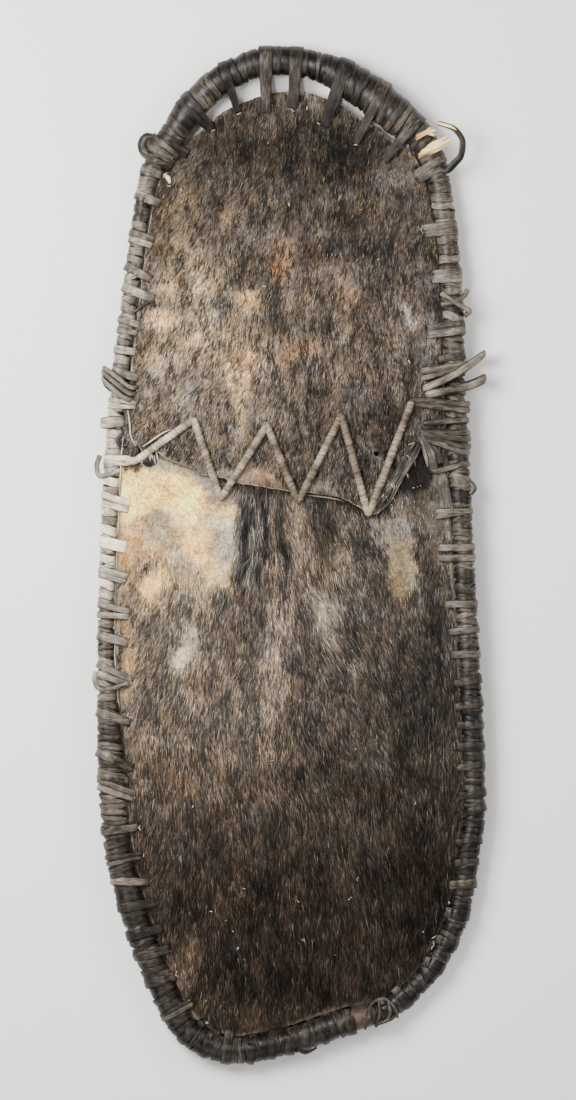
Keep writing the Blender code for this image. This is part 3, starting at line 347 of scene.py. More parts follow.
# From here on, a point with a third number is in photo pixels with millimetres over the ground,
# or over the rim where the line is laid on the rim. Loops of the grip: line, half width in
# millimetres, shade
GRIP_LOOPS = [
    ([(422, 372, 24), (425, 371, 33), (440, 369, 36), (456, 366, 34), (466, 364, 24),
     (462, 365, 10), (446, 368, 5), (400, 372, 7)], 3.4, 0.42),
    ([(422, 379, 24), (425, 378, 33), (440, 374, 36), (456, 370, 34), (465, 369, 24),
     (462, 370, 10), (446, 374, 5), (400, 378, 7)], 3.0, 0.38),
    ([(422, 390, 24), (426, 388, 33), (442, 381, 38), (462, 370, 37), (478, 358, 33),
     (483, 354, 24), (472, 362, 10), (448, 378, 4), (400, 385, 7)], 4.0, 0.46),
    ([(424, 397, 24), (428, 395, 33), (446, 391, 37), (466, 387, 35), (481, 381, 28),
     (483, 378, 20), (470, 384, 9), (448, 390, 4), (400, 391, 7)], 4.2, 0.44),
    ([(137, 386, 24), (131, 388, 33), (122, 381, 33), (112, 373, 31), (105, 368, 24),
     (108, 372, 11), (122, 378, 5), (175, 378, 7)], 2.6, 0.44),
    ([(137, 393, 24), (130, 394, 33), (120, 387, 34), (110, 378, 32), (104, 372, 23),
     (108, 378, 10), (122, 384, 5), (175, 384, 7)], 2.6, 0.36),
    ([(137, 400, 24), (129, 400, 33), (119, 394, 33), (109, 385, 31), (104, 378, 22),
     (108, 386, 10), (122, 391, 5), (175, 390, 7)], 2.8, 0.42),
]

# Ends and knots round the rim, over the ground
CURL = [
    (438, 166, 24), (446, 171, 27), (454, 164, 30), (460, 157, 32), (462, 147, 33),
    (461, 139, 33), (454, 130, 33), (445, 126, 32), (438, 124, 31),
]
KNOTS = [
    [(441, 294, 33), (450, 300, 36), (460, 306, 35), (469, 311, 30), (466, 315, 20)],
    [(441, 305, 33), (452, 303, 35), (463, 297, 34), (467, 291, 28)],
    [(100, 455, 24), (97, 466, 24), (100, 476, 26), (112, 474, 28), (120, 470, 28)],
    [(468, 480, 26), (474, 488, 27), (470, 494, 26)],
    [(96, 672, 24), (95, 680, 26), (99, 688, 27), (112, 688, 31), (128, 683, 33)],
]
LUMP = [
    (106, 422, 18), (104, 423, 24), (108, 423, 29.5), (114, 422, 31), (120, 422, 29.5),
    (123, 422, 25),
]
# Thick strands over the lump of lashing on the left: root and tip
FAN = [
    ((468, 433), (421, 432)), ((469, 439), (419, 435)), ((469, 446), (420, 437)),
    ((468, 452), (422, 440)), ((468, 404), (408, 400)), ((468, 410), (411, 405)),
    ((467, 420), (424, 423)), ((468, 464), (432, 471)),
]
# Lines laid on the rim
HOOK = [(134, 312, 0.5), (140, 308, 1.5), (147, 303, 2.5), (152, 302, 3.0), (155, 307, 0.5)]
BULGES = [
    [(168, 164, 3.0), (156, 161, 4.5), (146, 154, 5.0), (142, 145, 4.0), (146, 137, 4.5),
     (154, 137, 4.5)],
    [(172, 158, 4.5), (161, 153, 6.0), (152, 147, 6.0), (149, 141, 5.5), (153, 136, 3.0)],
]
FRAY = [
    [(366, 1016, 2.5), (372, 1004, 3.5), (384, 999, 3.5), (394, 1006, 3.0), (398, 1018, 2.5)],
    [(365, 1029, 1.5), (369, 1018, 2.5), (371, 1004, 2.5)],
    [(376, 1027, 1.5), (380, 1014, 2.5), (379, 1002, 2.5)],
    [(385, 1023, 1.5), (390, 1012, 2.5), (388, 1000, 2.5)],
    [(378, 1024, 2.5), (388, 1020, 3.5), (397, 1016, 2.5)],
    [(297, 1050, 1.0), (306, 1053, 1.5), (317, 1048, 1.0)],
]
# Splinters of the broken strip end: tip, its height in millimetres, half width in metres
SPLINTERS = [
    ((453, 139), 34, 0.0022), ((452, 143), 33, 0.0022), ((447, 137), 36, 0.002),
    ((444, 148), 34, 0.0022), ((441, 140), 36, 0.0024), ((448, 142), 37, 0.0026),
    ((437, 146), 37, 0.0024),
]

# The torn corner. Threads: line and how far over the hide
THREADS = [
    ([(128, 410), (130, 424), (131, 436), (136, 446)], 0.0034),
    ([(143, 447), (152, 441), (162, 434), (171, 430)], 0.0055),
]
FLAP = [(442, 508), (441, 496), (440, 484), (439, 474), (438, 469)]
# Scraps of raw hide: line, half widths, shades, and how far they lean. The first two are real
# crumpled hide, made wide and dark to cover the gap between the hides and the rim as painted shade.
CRUMPLES = [
    ([(420, 437), (425, 446), (429, 455), (432, 464), (436, 473)], [0.003, 0.005, 0.0062, 0.0052,
     0.003], [0.34, 0.22, 0.3, 0.18, 0.26], -0.35),
    ([(427, 441), (432, 448), (436, 455), (440, 463)], [0.0024, 0.0042, 0.0048, 0.003], [0.14,
     0.26, 0.16, 0.22], 0.3),
    ([(421, 441), (424, 449), (426, 458), (428, 467)], [0.0008, 0.0016, 0.0018, 0.0008], [0.52,
     0.44, 0.5, 0.36], -0.6),
]
SEAM_LIPS = [
    [(303, 495), (320, 497), (334, 499), (345, 502)],
    [(160, 456), (170, 460), (182, 465), (192, 469)],
]
# Pale edges of the lower hide along the left rim: upper and lower end in photo pixels
PALE_EDGES = [(432, 496), (506, 536), (550, 571), (584, 606), (618, 631), (646, 667), (690, 708)]

# Stops of the materials' colour ramps: position and colour
CANE_STOPS = [
    (0.0, (14, 12, 10)), (0.25, (54, 47, 40)), (0.5, (112, 103, 91)), (0.75, (177, 166, 147)),
    (1.0, (260, 243, 209)),
]
PALE_STOPS = [
    (0.0, (70, 50, 32)), (0.3, (150, 114, 70)), (0.65, (228, 186, 116)), (1.0, (270, 244, 182)),
]
CORD_STOPS = [
    (0.0, (30, 25, 21)), (0.25, (66, 56, 47)), (0.5, (118, 104, 88)), (0.75, (174, 160, 138)),
    (1.0, (226, 214, 190)),
]
RAW_STOPS = [
    (0.0, (40, 36, 34)), (0.3, (86, 80, 74)), (0.6, (146, 138, 126)), (1.0, (236, 226, 206)),
]
WOOD_STOPS = [(0.3, (40, 31, 25)), (0.5, (72, 57, 44)), (0.7, (104, 84, 64))]

FLOOR_HALF = 6.0
# Lamps: name, place, aim, size and power
LAMPS = [
    ("key", (-0.75, 0.45, 1.25), (-0.05, 0.10, 0.0), 0.8, 49.0),
    ("fill", (1.3, 0.5, 1.4), (0.0, 0.1, 0.0), 1.0, 17.5),
    ("low", (-0.4, -1.6, 1.4), (0.0, -0.1, 0.0), 1.0, 11.6),
]
# The camera: sensor and focal length in millimetres, and the length that it takes in
SENSOR, FOCAL, VIEW_SPAN = 36.0, 200.0, 1.1


def spot(px, py):
    """The shield's plane, in metres, from a photo pixel."""
    return np.array([(px - MIDDLE_PX[0]) / 1000, (MIDDLE_PX[1] - py) / 1000])


def spots(points):
    """The same for many pixels."""
    return np.array([spot(*p) for p in points])


def unit(vectors):
    """The same directions, with length one."""
    return vectors / np.linalg.norm(vectors, axis=-1, keepdims=True)


def travelled(path):
    """How far along a path each of its points is."""
    return np.concatenate([[0], np.cumsum(np.linalg.norm(np.diff(path, axis=0), axis=1))])


def line_y(line, x):
    """The y of a line that runs from left to right, at places x."""
    return np.interp(x, line[:, 0], line[:, 1])


def noise(points, size, seed):
    """Smooth noise from -1 to 1 with features about size across, at points in a plane."""
    p = np.asarray(points, float)[:, :2] / size + seed * 7.31
    cell = np.floor(p)
    f = p - cell
    f = f * f * (3 - 2 * f)

    def corner(dx, dy):
        h = np.sin((cell[:, 0] + dx) * 127.1 + (cell[:, 1] + dy) * 311.7 + seed * 74.7) * 43758.5453
        return h - np.floor(h)

    near = corner(0, 0) * (1 - f[:, 0]) + corner(1, 0) * f[:, 0]
    far = corner(0, 1) * (1 - f[:, 0]) + corner(1, 1) * f[:, 0]
    return 2 * (near * (1 - f[:, 1]) + far * f[:, 1]) - 1


def rough(points, size, seed, octaves=3):
    """Noise with finer and finer detail added."""
    total = sum(noise(points, size / 2**k, seed + 13 * k) / 2**k for k in range(octaves))
    return total / (2 - 2 ** (1 - octaves))


def line_noise(s, size, seed, kind=noise):
    """Noise along a line, at distances s."""
    return kind(np.stack([s, s], axis=1), size, seed)


def drift(xy, size, *seeds, kind=rough):
    """A vector of noise for each point, one seed a direction."""
    return np.stack([kind(xy, size, seed) for seed in seeds], axis=1)


def smooth(points, steps, closed=False):
    """A fine curve through the points (Catmull-Rom)."""
    points = np.array(points, float)
    if closed:
        run = np.vstack([points[-1:], points, points[:2]])
    else:
        run = np.vstack([2 * points[0] - points[1], points, 2 * points[-1] - points[-2]])
    a, b, c, d = run[:-3], run[1:-2], run[2:-1], run[3:]
    t = np.linspace(0, 1, steps, endpoint=False)[:, None, None]
    square, cube = 2 * a - 5 * b + 4 * c - d, 3 * b - a - 3 * c + d
    curve = 0.5 * (2 * b + (c - a) * t + square * t**2 + cube * t**3)
    curve = np.swapaxes(curve, 0, 1).reshape(-1, points.shape[1])
    return curve if closed else np.vstack([curve, points[-1:]])


def inside(points, loop):
    """Which points lie inside a closed loop."""
    points = np.asarray(points)
    within = np.zeros(len(points), bool)
    x, y = points[:, 0], points[:, 1]
    for (x0, y0), (x1, y1) in zip(loop, np.roll(loop, -1, axis=0)):
        if y0 == y1:
            continue
        crosses = (y0 > y) != (y1 > y)
        within ^= crosses & (x < (x1 - x0) * (y - y0) / (y1 - y0) + x0)
    return within


def depth(points, loop):
    """How far points lie inside a closed loop, negative outside it."""
    best = np.full(len(points), np.inf)
    for start, end in zip(loop, np.roll(loop, -1, axis=0)):
        span = end - start
        share = np.clip((points - start) @ span / (span @ span), 0, 1)
        best = np.minimum(best, np.linalg.norm(points - start - share[:, None] * span, axis=1))
    return np.where(inside(points, loop), best, -best)


# The rim as fine rows by distance clockwise from the left shoulder
FINE = smooth([(x * HALF[0], y * HALF[1], t) for x, y, t in RIM_OUTLINE], RIM_STEPS, closed=True)
FINE = np.vstack([FINE, FINE[:1]])
ALONG = travelled(FINE[:, :2])
LENGTH = ALONG[-1]
RIGHT_S = float(ALONG[RIM_STEPS * RIGHT_SHOULDER])


def rim_lift(y):
    """How far the rim's back is off the ground."""
    share = np.minimum(1.0, np.abs(y) / HALF[1])
    return LASH_STAND + RIM_BOW * (1 - share**2) ** 2


def rim(s):
    """Outer edge, unit vector inwards, thickness and lift of the rim at distances along it."""
    s = np.asarray(s, float) % LENGTH

    def at(where):
        where = where % LENGTH
        return np.stack([np.interp(where, ALONG, FINE[:, k]) for k in range(2)], axis=-1)

    point = at(s)
    ahead = unit(at(s + 0.004) - at(s - 0.004))
    inward = np.stack([ahead[..., 1], -ahead[..., 0]], axis=-1)
    return point, inward, np.interp(s, ALONG, FINE[:, 2]), rim_lift(point[..., 1])


def nearest(point):
    """The distance along the rim of the place nearest a point of the shield's plane."""
    return float(ALONG[np.argmin(np.linalg.norm(FINE[:, :2] - point, axis=1))])


def hide_inset(s):
    """How far the hides' edge lies inside the rim's outer edge."""
    s = np.asarray(s, float) % LENGTH
    share = np.minimum(1.0, s / RIGHT_S) ** WINDOW_SKEW
    window = np.maximum(0.0, np.sin(np.pi * share)) ** WINDOW_SLOPE
    to_joint = np.minimum(np.minimum(s, LENGTH - s), np.abs(s - RIGHT_S))
    joint = np.clip(2.5 - to_joint / JOINT_HALF, 0, 1)
    return rim(s)[2] + HIDE_EDGE_GAP + JOINT_EXTRA * joint + ARCH_WINDOW * window


def hide_rim(s):
    """The hides' edge along the rim."""
    point, inward, _, _ = rim(s)
    return point + inward * hide_inset(s)[..., None]


_edge = hide_rim(np.linspace(0, LENGTH, 360, endpoint=False))
_turn = np.arctan2(_edge[:, 1], _edge[:, 0])
_order = np.argsort(_turn)
EDGE_TURN, EDGE_RADIUS = _turn[_order], np.linalg.norm(_edge, axis=1)[_order]
LOWER_LINE = spots(LOWER_EDGE)
UPPER_LINE = spots(UPPER_EDGE)


def edge_radius(xy):
    """How far the hides' edge along the rim is from the middle, towards each point."""
    return np.interp(np.arctan2(xy[:, 1], xy[:, 0]), EDGE_TURN, EDGE_RADIUS, period=2 * np.pi)


def rim_distance(xy):
    """How far points lie inside the hides' edge along the rim, roughly."""
    return edge_radius(xy) - np.linalg.norm(xy, axis=1)


def dome(xy):
    """Height of a hide's middle surface."""
    share = np.minimum(1.0, np.linalg.norm(xy, axis=1) / edge_radius(xy))
    return rim_lift(xy[:, 1]) + HIDE_SEAT + DOME * (1 - share**2)


def relief(xy):
    """Dents and waves of dried hide, gone at the rim."""
    room = np.clip(rim_distance(xy) / RELIEF_FADE, 0, 1)
    return room * (0.0016 * rough(xy, 0.11, 3) + 0.0005 * rough(xy, 0.022, 5))


def skin_height(xy, upper):
    """The hair side of a hide."""
    height = dome(xy) + relief(xy) + SKIN / 2
    if upper:
        line = line_y(LOWER_LINE, xy[:, 0])
        share = np.clip((xy[:, 1] - line - SEAM_FLAT) / SEAM_RAMP, 0, 1)
        height = height + (SKIN + SEAM_GAP) * (1 - share**2 * (3 - 2 * share))
    return height


def lifted(flat, upper, rise):
    """Points of the shield's plane, set rise metres above a hide."""
    return np.column_stack([flat, skin_height(flat, upper) + rise])


def over(line, upper, rise):
    """Photo pixels as points rise metres above a hide."""
    return lifted(spots(line), upper, rise)


def on_rim(points):
    """Photo pixels, each with a rise in millimetres above the rim or the hide beside it."""
    found = []
    for px, py, rise in points:
        flat = spot(px, py)
        point, inward, size, lift = rim(nearest(flat))
        off = float((flat - point) @ inward) - size / 2
        height = lift + size / 2 + math.sqrt(max(0.0, (size / 2) ** 2 - off**2))
        if off > 0:
            height = max(height, float(skin_height(flat[None], flat[1] > SEAM_LEVEL)[0]))
        found.append((*flat, height + rise / 1000))
    return found


def high(points):
    """Photo pixels, each with its height in millimetres, as points in metres."""
    return [(*spot(px, py), z / 1000) for px, py, z in points]


def light(colour):
    """A colour as the eye sees it on a screen, as the light that it returns."""
    return SCREEN_GAIN * (np.array(colour, float) / 255) ** SCREEN_GAMMA


class Pile:
    """Closed strips and tubes gathered into one mesh, with what their material reads."""

    def __init__(self):
        self.points, self.faces, self.strand, self.shade = [], [], [], []
        self.count = 0

    def add(self, rings, along, across, seed, shade):
        """rings is (rings, points round, 3); shade is a number or one a ring.

        The streaks are laid by metres along the strip, by -1 to 1 across it, and by seed, which
        sets them apart from other strips'.
        """
        rows, around, _ = rings.shape
        first = self.count + np.arange(rows * around).reshape(rows, around)
        ahead = np.roll(first, -1, axis=1)
        quads = np.stack([first[:-1], ahead[:-1], ahead[1:], first[1:]], axis=-1).reshape(-1, 4)
        self.faces += [*quads.tolist(), first[0][::-1].tolist(), first[-1].tolist()]
        self.points.append(rings.reshape(-1, 3))
        strand = np.empty(rings.shape)
        strand[..., 0], strand[..., 1], strand[..., 2] = along, across, seed
        self.strand.append(strand.reshape(-1, 3))
        shade = np.broadcast_to(np.asarray(shade, float).reshape(-1, 1), (rows, around))
        self.shade.append(shade.reshape(-1))
        self.count += rows * around

    def make(self, name, material, replaces=(), sharp=50):
        mesh = bpy.data.meshes.new(name)
        points = np.vstack(self.points)
        points[:, 2] = np.maximum(points[:, 2], LOWEST)
        mesh.from_pydata(points.tolist(), [], self.faces)
        strand = mesh.attributes.new("strand", "FLOAT_VECTOR", "POINT")
        strand.data.foreach_set("vector", np.vstack(self.strand).astype(np.float32).ravel())
        shade = mesh.attributes.new("shade", "FLOAT", "POINT")
        shade.data.foreach_set("value", np.concatenate(self.shade).astype(np.float32))
        smooth_piece(name, mesh, material, replaces, sharp)


def piece(name, mesh, material, replaces):
    """An object of the shield in the scene, with what it stands for in the CAD."""
    mesh.materials.append(material)
    made = bpy.data.objects.new(name, mesh)
    bpy.context.scene.collection.objects.link(made)
    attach(made, "root")
    if replaces:
        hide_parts(*replaces)


def smooth_piece(name, mesh, material, replaces, sharp=50):
    """A piece that is shaded smooth up to an angle of sharp degrees."""
    mesh.shade_smooth()
    mesh.set_sharp_from_angle(angle=math.radians(sharp))
    piece(name, mesh, material, replaces)


def ribbon(pile, path, side, out, half, thick, shade, seed, section=FLAT_STRIP):
    """A strip along a path. side and out are unit vectors at each point of it.

    seed sets its streaks apart from others': a number, or the random source to draw one from.
    """
    half = np.broadcast_to(half, len(path))[:, None, None]
    thick = np.broadcast_to(thick, len(path))[:, None, None]
    across, up = section[None, :, :1], section[None, :, 1:]
    rings = path[:, None] + side[:, None] * across * half + out[:, None] * up * thick
    if isinstance(seed, np.random.Generator):
        seed = seed.uniform(0, SEEDS)
    pile.add(rings, travelled(path)[:, None], section[:, 0], seed, shade)


def strand_along(pile, points, half, thick, shade, seed, up=(0, 0, 1), section=ROUND_STRAND):
    """A free strand through points, its flat side facing up.

    half, thick, shade and up may vary along it.
    """
    path = smooth(points, STRAND_STEPS)
    share = np.linspace(0, 1, len(path))

    def along(value):
        value = np.atleast_1d(np.asarray(value, float))
        return np.interp(share, np.linspace(0, 1, len(value)), value)

    ahead = unit(np.gradient(path, axis=0))
    up = np.atleast_2d(np.array(up, float))
    up = np.stack([along(up[:, k]) for k in range(3)], axis=1)
    side = unit(np.cross(ahead, up))
    out = np.cross(side, ahead)
    ribbon(pile, path, side, out, along(half), along(thick), along(shade), seed, section)


def round_rim(at, angle, radius):
    """Points round the middle of the rim. at is what rim returns."""
    point, inward, size, lift = at
    flat = point + inward * (size / 2 + radius * np.cos(angle))[..., None]
    height = lift + size / 2 + radius * np.sin(angle)
    return np.concatenate([flat, height[..., None]], axis=-1)


def turns(pile, start, end, width, shade, rng, tilt=0.0, extra=0.0):
    """Closely wound turns of split cane on a stretch of the rim.

    width and shade are (mean, spread); tilt slants the turns; extra is how far they stand out.
    """
    edges = [start]
    while edges[-1] < end - width[0] * 0.5:
        edges.append(edges[-1] + max(NARROWEST_TURN, rng.normal(width[0], width[1])))
    edges = np.array(edges)
    edges = start + (edges - start) * (end - start) / (edges[-1] - start)
    angle = math.radians(-90) - np.linspace(-0.12, 2 * np.pi + 0.12, TURN_STEPS)
    across, up = FLAT_STRIP[:, 0], FLAT_STRIP[:, 1]
    for first, last in zip(edges, edges[1:]):
        half = (last - first) / 2 * rng.uniform(1.02, 1.14)
        thick = STRIP * rng.uniform(0.75, 1.0)
        stand = extra + rng.uniform(-0.0007, 0.0003)
        lean = rng.normal(0.0, 0.00045) + 0.0003
        wave = rng.normal(0, 0.0006, 3)
        wander = wave[0] * np.sin(angle) + wave[1] * np.sin(2 * angle) + wave[2] * np.cos(3 * angle)
        slant = tilt + rng.normal(0, 0.0012)
        middle = (first + last) / 2 - slant * np.cos(angle) + wander
        swell = 1 + 0.07 * np.sin(angle * 2 + rng.uniform(0, 6))
        at = rim(middle[:, None] + across[None] * half * swell[:, None])
        radius = at[2] / 2 - thick + stand + thick * up[None] + lean * across[None]
        rings, seed = round_rim(at, angle[:, None], radius), rng.uniform(0, SEEDS)
        tone = np.clip(rng.normal(*shade), 0, 1)
        pile.add(rings, (-angle * 0.012)[:, None], across, seed, tone)


def lash(pile, root, tip, widths, shade, rng, extra):
    """A turn that comes over the rim from its outer edge, and goes through a slit at tip."""
    point, inward, size, lift = rim(nearest(root))
    reach = tip - point
    far = float(np.linalg.norm(reach))
    ahead = reach / far
    slope = max(0.55, float(ahead @ inward))
    across_radius, up_radius = (size / 2 + extra) / slope, size / 2 + extra
    middle, centre_z = size / 2 / slope, lift + size / 2
    top = float(skin_height(tip[None], tip[1] > SEAM_LEVEL)[0])
    bottom = top - SKIN
    line = []
    for turn in np.linspace(-92, -292, 13):
        a = math.radians(turn)
        line.append((middle + across_radius * math.cos(a), centre_z + up_radius * math.sin(a)))
    last, near = np.array(line[-1]), np.array([far - 0.006, top + 0.0022])
    knee = 0.5 * (last + near) + np.array([0, 0.0016])
    for t in (0.3, 0.6, 0.85):
        line.append(tuple(last * (1 - t) ** 2 + 2 * t * (1 - t) * knee + near * t**2))
    line += [(far - 0.0016, top + 0.0016), (far, top + 0.0008), (far + 0.0006, top - 0.0022)]
    line += [(far - 0.0004, bottom - 0.002), (far - 0.003, bottom - 0.0028)]
    line += [(size * 1.02, lift + 0.004), (middle, lift - 0.0006)]
    line = np.array(line)
    path = np.concatenate([point + line[:, :1] * ahead, line[:, 1:]], axis=1)
    move = unit(np.gradient(line, axis=0))
    out = np.concatenate([move[:, 1:] * -ahead, move[:, :1]], axis=1)
    side = np.broadcast_to(np.array([ahead[1], -ahead[0], 0.0]), path.shape)
    at, wide = [0, 10, 17, len(path) - 1], [widths[0], widths[0], widths[1], widths[1]]
    half = np.interp(np.arange(len(path)), at, wide) / 2
    thick = np.full(len(path), STRIP * rng.uniform(0.75, 0.95))
    ribbon(pile, path, side, out, half, thick, shade, rng)


def strands(pile, root, tip, widths, count, shade, rng, extra):
    """Several narrow strands side by side that go through one slit."""
    root, tip = spot(*root), spot(*tip)
    ahead = (tip - root) / np.linalg.norm(tip - root)
    side = np.array([ahead[1], -ahead[0]])
    for i in range(count):
        share = (i + 0.5) / count - 0.5
        wide = (widths[0] / count * 1.14, widths[1] / count * 1.14)
        tone = np.clip(shade + rng.normal(0, 0.07), 0, 1)
        start = root + side * share * widths[0]
        end = tip + side * share * widths[1] + ahead * rng.normal(0, 0.0008)
        lash(pile, start, end, wide, tone, rng, extra + rng.uniform(0, 0.0006))


def build_binding(cane, raw):
    """Every turn of split cane, one piece for each CAD binding, and the lashes in two more."""
    rng = np.random.default_rng(11)

    def at(px, py):
        return nearest(spot(px, py))

    foot = nearest(np.array([-0.660, -0.915]) * HALF)
    # Each binding's start, then for each stretch its end, the turns' width and its spread in
    # millimetres, their shade and its spread, and their tilt. The shades peak at the middle of
    # the left side and fall towards the arch and the foot: partly the cane's own tone, partly
    # a painted pool of light.
    bindings = {
        "arch": (JOINT_HALF, [
            (at(200, 80), 12.0, 1.5, 0.20, 0.08, 0.003),
            (at(240, 53), 9.0, 1.4, 0.15, 0.08, 0.002),
            (at(320, 50), 8.5, 1.6, 0.10, 0.08, 0.0),
            (at(380, 80), 7.5, 1.2, 0.13, 0.08, -0.003),
            (RIGHT_S - JOINT_HALF, 7.0, 1.3, 0.18, 0.07, -0.005),
        ]),
        "right": (RIGHT_S + JOINT_HALF, [
            (at(464, 320), 8.8, 1.2, 0.40, 0.09, 0.0015),
            (at(473, 500), 7.2, 1.2, 0.27, 0.10, 0.001),
            (at(479, 660), 6.0, 1.0, 0.27, 0.09, 0.001),
            (at(485, 800), 5.6, 1.0, 0.15, 0.07, 0.001),
            (at(377, 1030), 5.8, 0.9, 0.13, 0.06, 0.0),
        ]),
        "foot": (at(357, 1036), [(foot, 7.0, 1.4, 0.15, 0.05, 0.0)]),
        "left": (foot, [
            (at(103, 840), 8.6, 2.0, 0.18, 0.06, 0.0),
            (at(98, 700), 6.0, 1.0, 0.26, 0.08, 0.002),
            (at(100, 600), 6.6, 1.0, 0.46, 0.09, 0.0015),
            (at(112, 400), 9.8, 1.3, 0.78, 0.10, 0.0008),
            (at(128, 240), 8.8, 1.2, 0.47, 0.10, 0.0008),
            (LENGTH - JOINT_HALF, 8.8, 1.3, 0.38, 0.08, 0.001),
        ]),
    }
    for side, (start, stretches) in bindings.items():
        pile = Pile()
        for end, width, spread, shade, uneven, tilt in stretches:
            turns(pile, start, end, (width / 1000, spread / 1000), (shade, uneven), rng, tilt)
            start = end
        pile.make(f"{side}_turns", cane, (f"{side}_binding",))
    pile = Pile()
    for root, tip, wide, narrow, count, shade in ARCH_LASHES:
        strands(pile, root, tip, (wide / 1000, narrow / 1000), count, shade, rng, -0.0009)
    pile.make("arch_lashes", cane)
    pile = Pile()
    for root, tip, width, count, shade in SIDE_LASHES:
        strands(pile, root, tip, (width / 1000, width / 1000 * 0.9), count, shade, rng, -0.0010)
    pile.make("side_lashes", cane)
    pile = Pile()
    for px, py in LIPS:
        tip = spot(px, py)
        edge = rim(nearest(tip))[1]
        across = np.array([-edge[1], edge[0]])
        for _ in range(int(rng.integers(1, 4))):
            middle = tip + edge * rng.normal(0.0010, 0.0006) + across * rng.normal(0, 0.0020)
            reach = across * rng.uniform(0.0006, 0.0024) + edge * rng.normal(0, 0.0008)
            ends = np.array([middle - reach, middle, middle + reach])
            line = lifted(ends, tip[1] > SEAM_LEVEL, [0.0004, 0.0016, 0.0004])
            half, shade = rng.uniform(0.0003, 0.0006), rng.uniform(0.65, 1.0)
            strand_along(pile, line, half, 0.0007, shade, rng)
    for px, py in FLECKS:
        middle, turn, far = spot(px, py), rng.uniform(0, 3.14), rng.uniform(0.0004, 0.0020)
        reach = far * np.array([math.cos(turn), math.sin(turn)])
        ends = np.array([middle - reach, middle, middle + reach])
        line = lifted(ends, middle[1] > FLECK_LEVEL, 0.0016)
        strand_along(pile, line, [0.0002, 0.0005, 0.0002], 0.0005, rng.uniform(0.6, 1.0), 3.0)
    chip = over([(165, 175), (168, 178), (170, 183)], True, [0.0012, 0.0020, 0.0012])
    strand_along(pile, chip, [0.0010, 0.0026, 0.0012], 0.0014, 0.95, 3.0)
    pile.make("pale_bits", raw, ())


def build_rods(wood):
    """The two bent rods, smooth, under their binding."""
    around = np.linspace(0, 2 * np.pi, 14, endpoint=False)
    for side, start, end in (("arch", 0.0, RIGHT_S), ("hoop", RIGHT_S, LENGTH)):
        s = np.linspace(start, end, int((end - start) / 0.006))[:, None]
        at = rim(s)
        pile = Pile()
        pile.add(round_rim(at, around, at[2] / 2 - STRIP * 1.05), s, np.sin(around), 0.0, 0.3)
        pile.make(f"{side}_cane", wood, (f"{side}_rod",))


def build_joints(cane):
    """The thick lashings on the scarf joints."""
    rng = np.random.default_rng(5)
    pile = Pile()
    start = LENGTH - JOINT_HALF
    turns(pile, start, LENGTH - 0.006, (0.0080, 0.0012), (0.28, 0.08), rng, 0.002, 0.0002)
    turns(pile, -0.006, 0.012, (0.0080, 0.0010), (0.28, 0.06), rng, 0.004, 0.0040)
    turns(pile, 0.012, JOINT_HALF, (0.0070, 0.0012), (0.24, 0.08), rng, 0.003, 0.0005)
    pile.make("left_shoulder_turns", cane, ("left_shoulder_lashing",))
    pile = Pile()
    start, end = RIGHT_S - JOINT_HALF, RIGHT_S + JOINT_HALF
    turns(pile, start, end, (0.0085, 0.0015), (0.26, 0.07), rng, -0.006, 0.0006)
    pile.make("right_shoulder_turns", cane, ("right_shoulder_lashing",))


def field(xy, upper):
    """Colour of a hide, as light, and how bare it is, at points on it."""
    where = xy + 0.008 * drift(xy, 0.03, 41, 57)
    where = where + 0.006 * drift(xy, 0.009, 43, 59)
    colour = np.tile(np.array(BASE[upper], float), (len(xy), 1))
    bare = np.zeros(len(xy))

    def lay(shade, hairless, weight):
        nonlocal colour, bare
        colour += (np.array(shade) - colour) * weight[:, None]
        bare += (hairless - bare) * weight

    patches, areas = (UPPER_PATCHES, UPPER_AREAS) if upper else (LOWER_PATCHES, LOWER_AREAS)
    for px, py, rx, ry, turn, shade, strength, hairless in patches:
        off = (where - spot(px, py)) * 1000
        c, s = math.cos(math.radians(turn)), math.sin(math.radians(turn))
        along, across = off[:, 0] * c + off[:, 1] * s, -off[:, 0] * s + off[:, 1] * c
        distance = (along / rx) ** 2 + (across / ry) ** 2
        lay(shade, hairless, strength * np.exp(-(distance**1.5)))
    for corners, soft, shade, hairless in areas:
        share = np.clip(0.5 + depth(where, spots(corners)) * 1000 / soft, 0, 1)
        lay(shade, hairless, share**2 * (3 - 2 * share))
    calm = 1 - 0.30 * np.clip(bare, 0, 1) * np.clip((colour.mean(axis=1) - 150) / 70, 0, 1)
    # Painted shadow of the upper hide's edge: the lower hide darkened in a band fading out 3 mm
    # below it.
    if not upper:
        below = line_y(UPPER_LINE, xy[:, 0]) - xy[:, 1]
        colour *= (1 - 0.40 * np.clip(1 - below / 0.003, 0, 1) * (below > -0.01))[:, None]
    mottle = 0.26 * rough(xy, 0.018, 71) + 0.20 * rough(xy, 0.007, 83)
    mottle = 1 + calm * MOTTLE[upper] * mottle
    warmth = rough(xy, 0.014, 87)[:, None] * [0.05, 0.0, -0.08]
    return light(np.clip(colour * mottle[:, None] * (1 + warmth), 4, 290)), bare


def outline_of(upper):
    """A hide's outline: along the rim clockwise, then back along the seam, a little ragged."""
    if upper:
        start, end = nearest(spot(136, 441)) - LENGTH, nearest(spot(441, 455))
        seam = spots(UPPER_EDGE[::-1])
    else:
        start, end = nearest(spot(445, 470)), nearest(spot(128, 447))
        seam = spots(LOWER_EDGE)
    s = np.linspace(start, end, int((end - start) / 0.0035))
    ragged = 0.0006 * line_noise(s, 0.012, 9, rough)[:, None] * rim(s)[1]
    seam = smooth(seam, 6)[1:-1]
    seam = seam + 0.0012 * np.stack([rough(seam, 0.007, 21), rough(seam, 0.006, 33)], axis=1)
    return np.vstack([hide_rim(s) + ragged, seam])


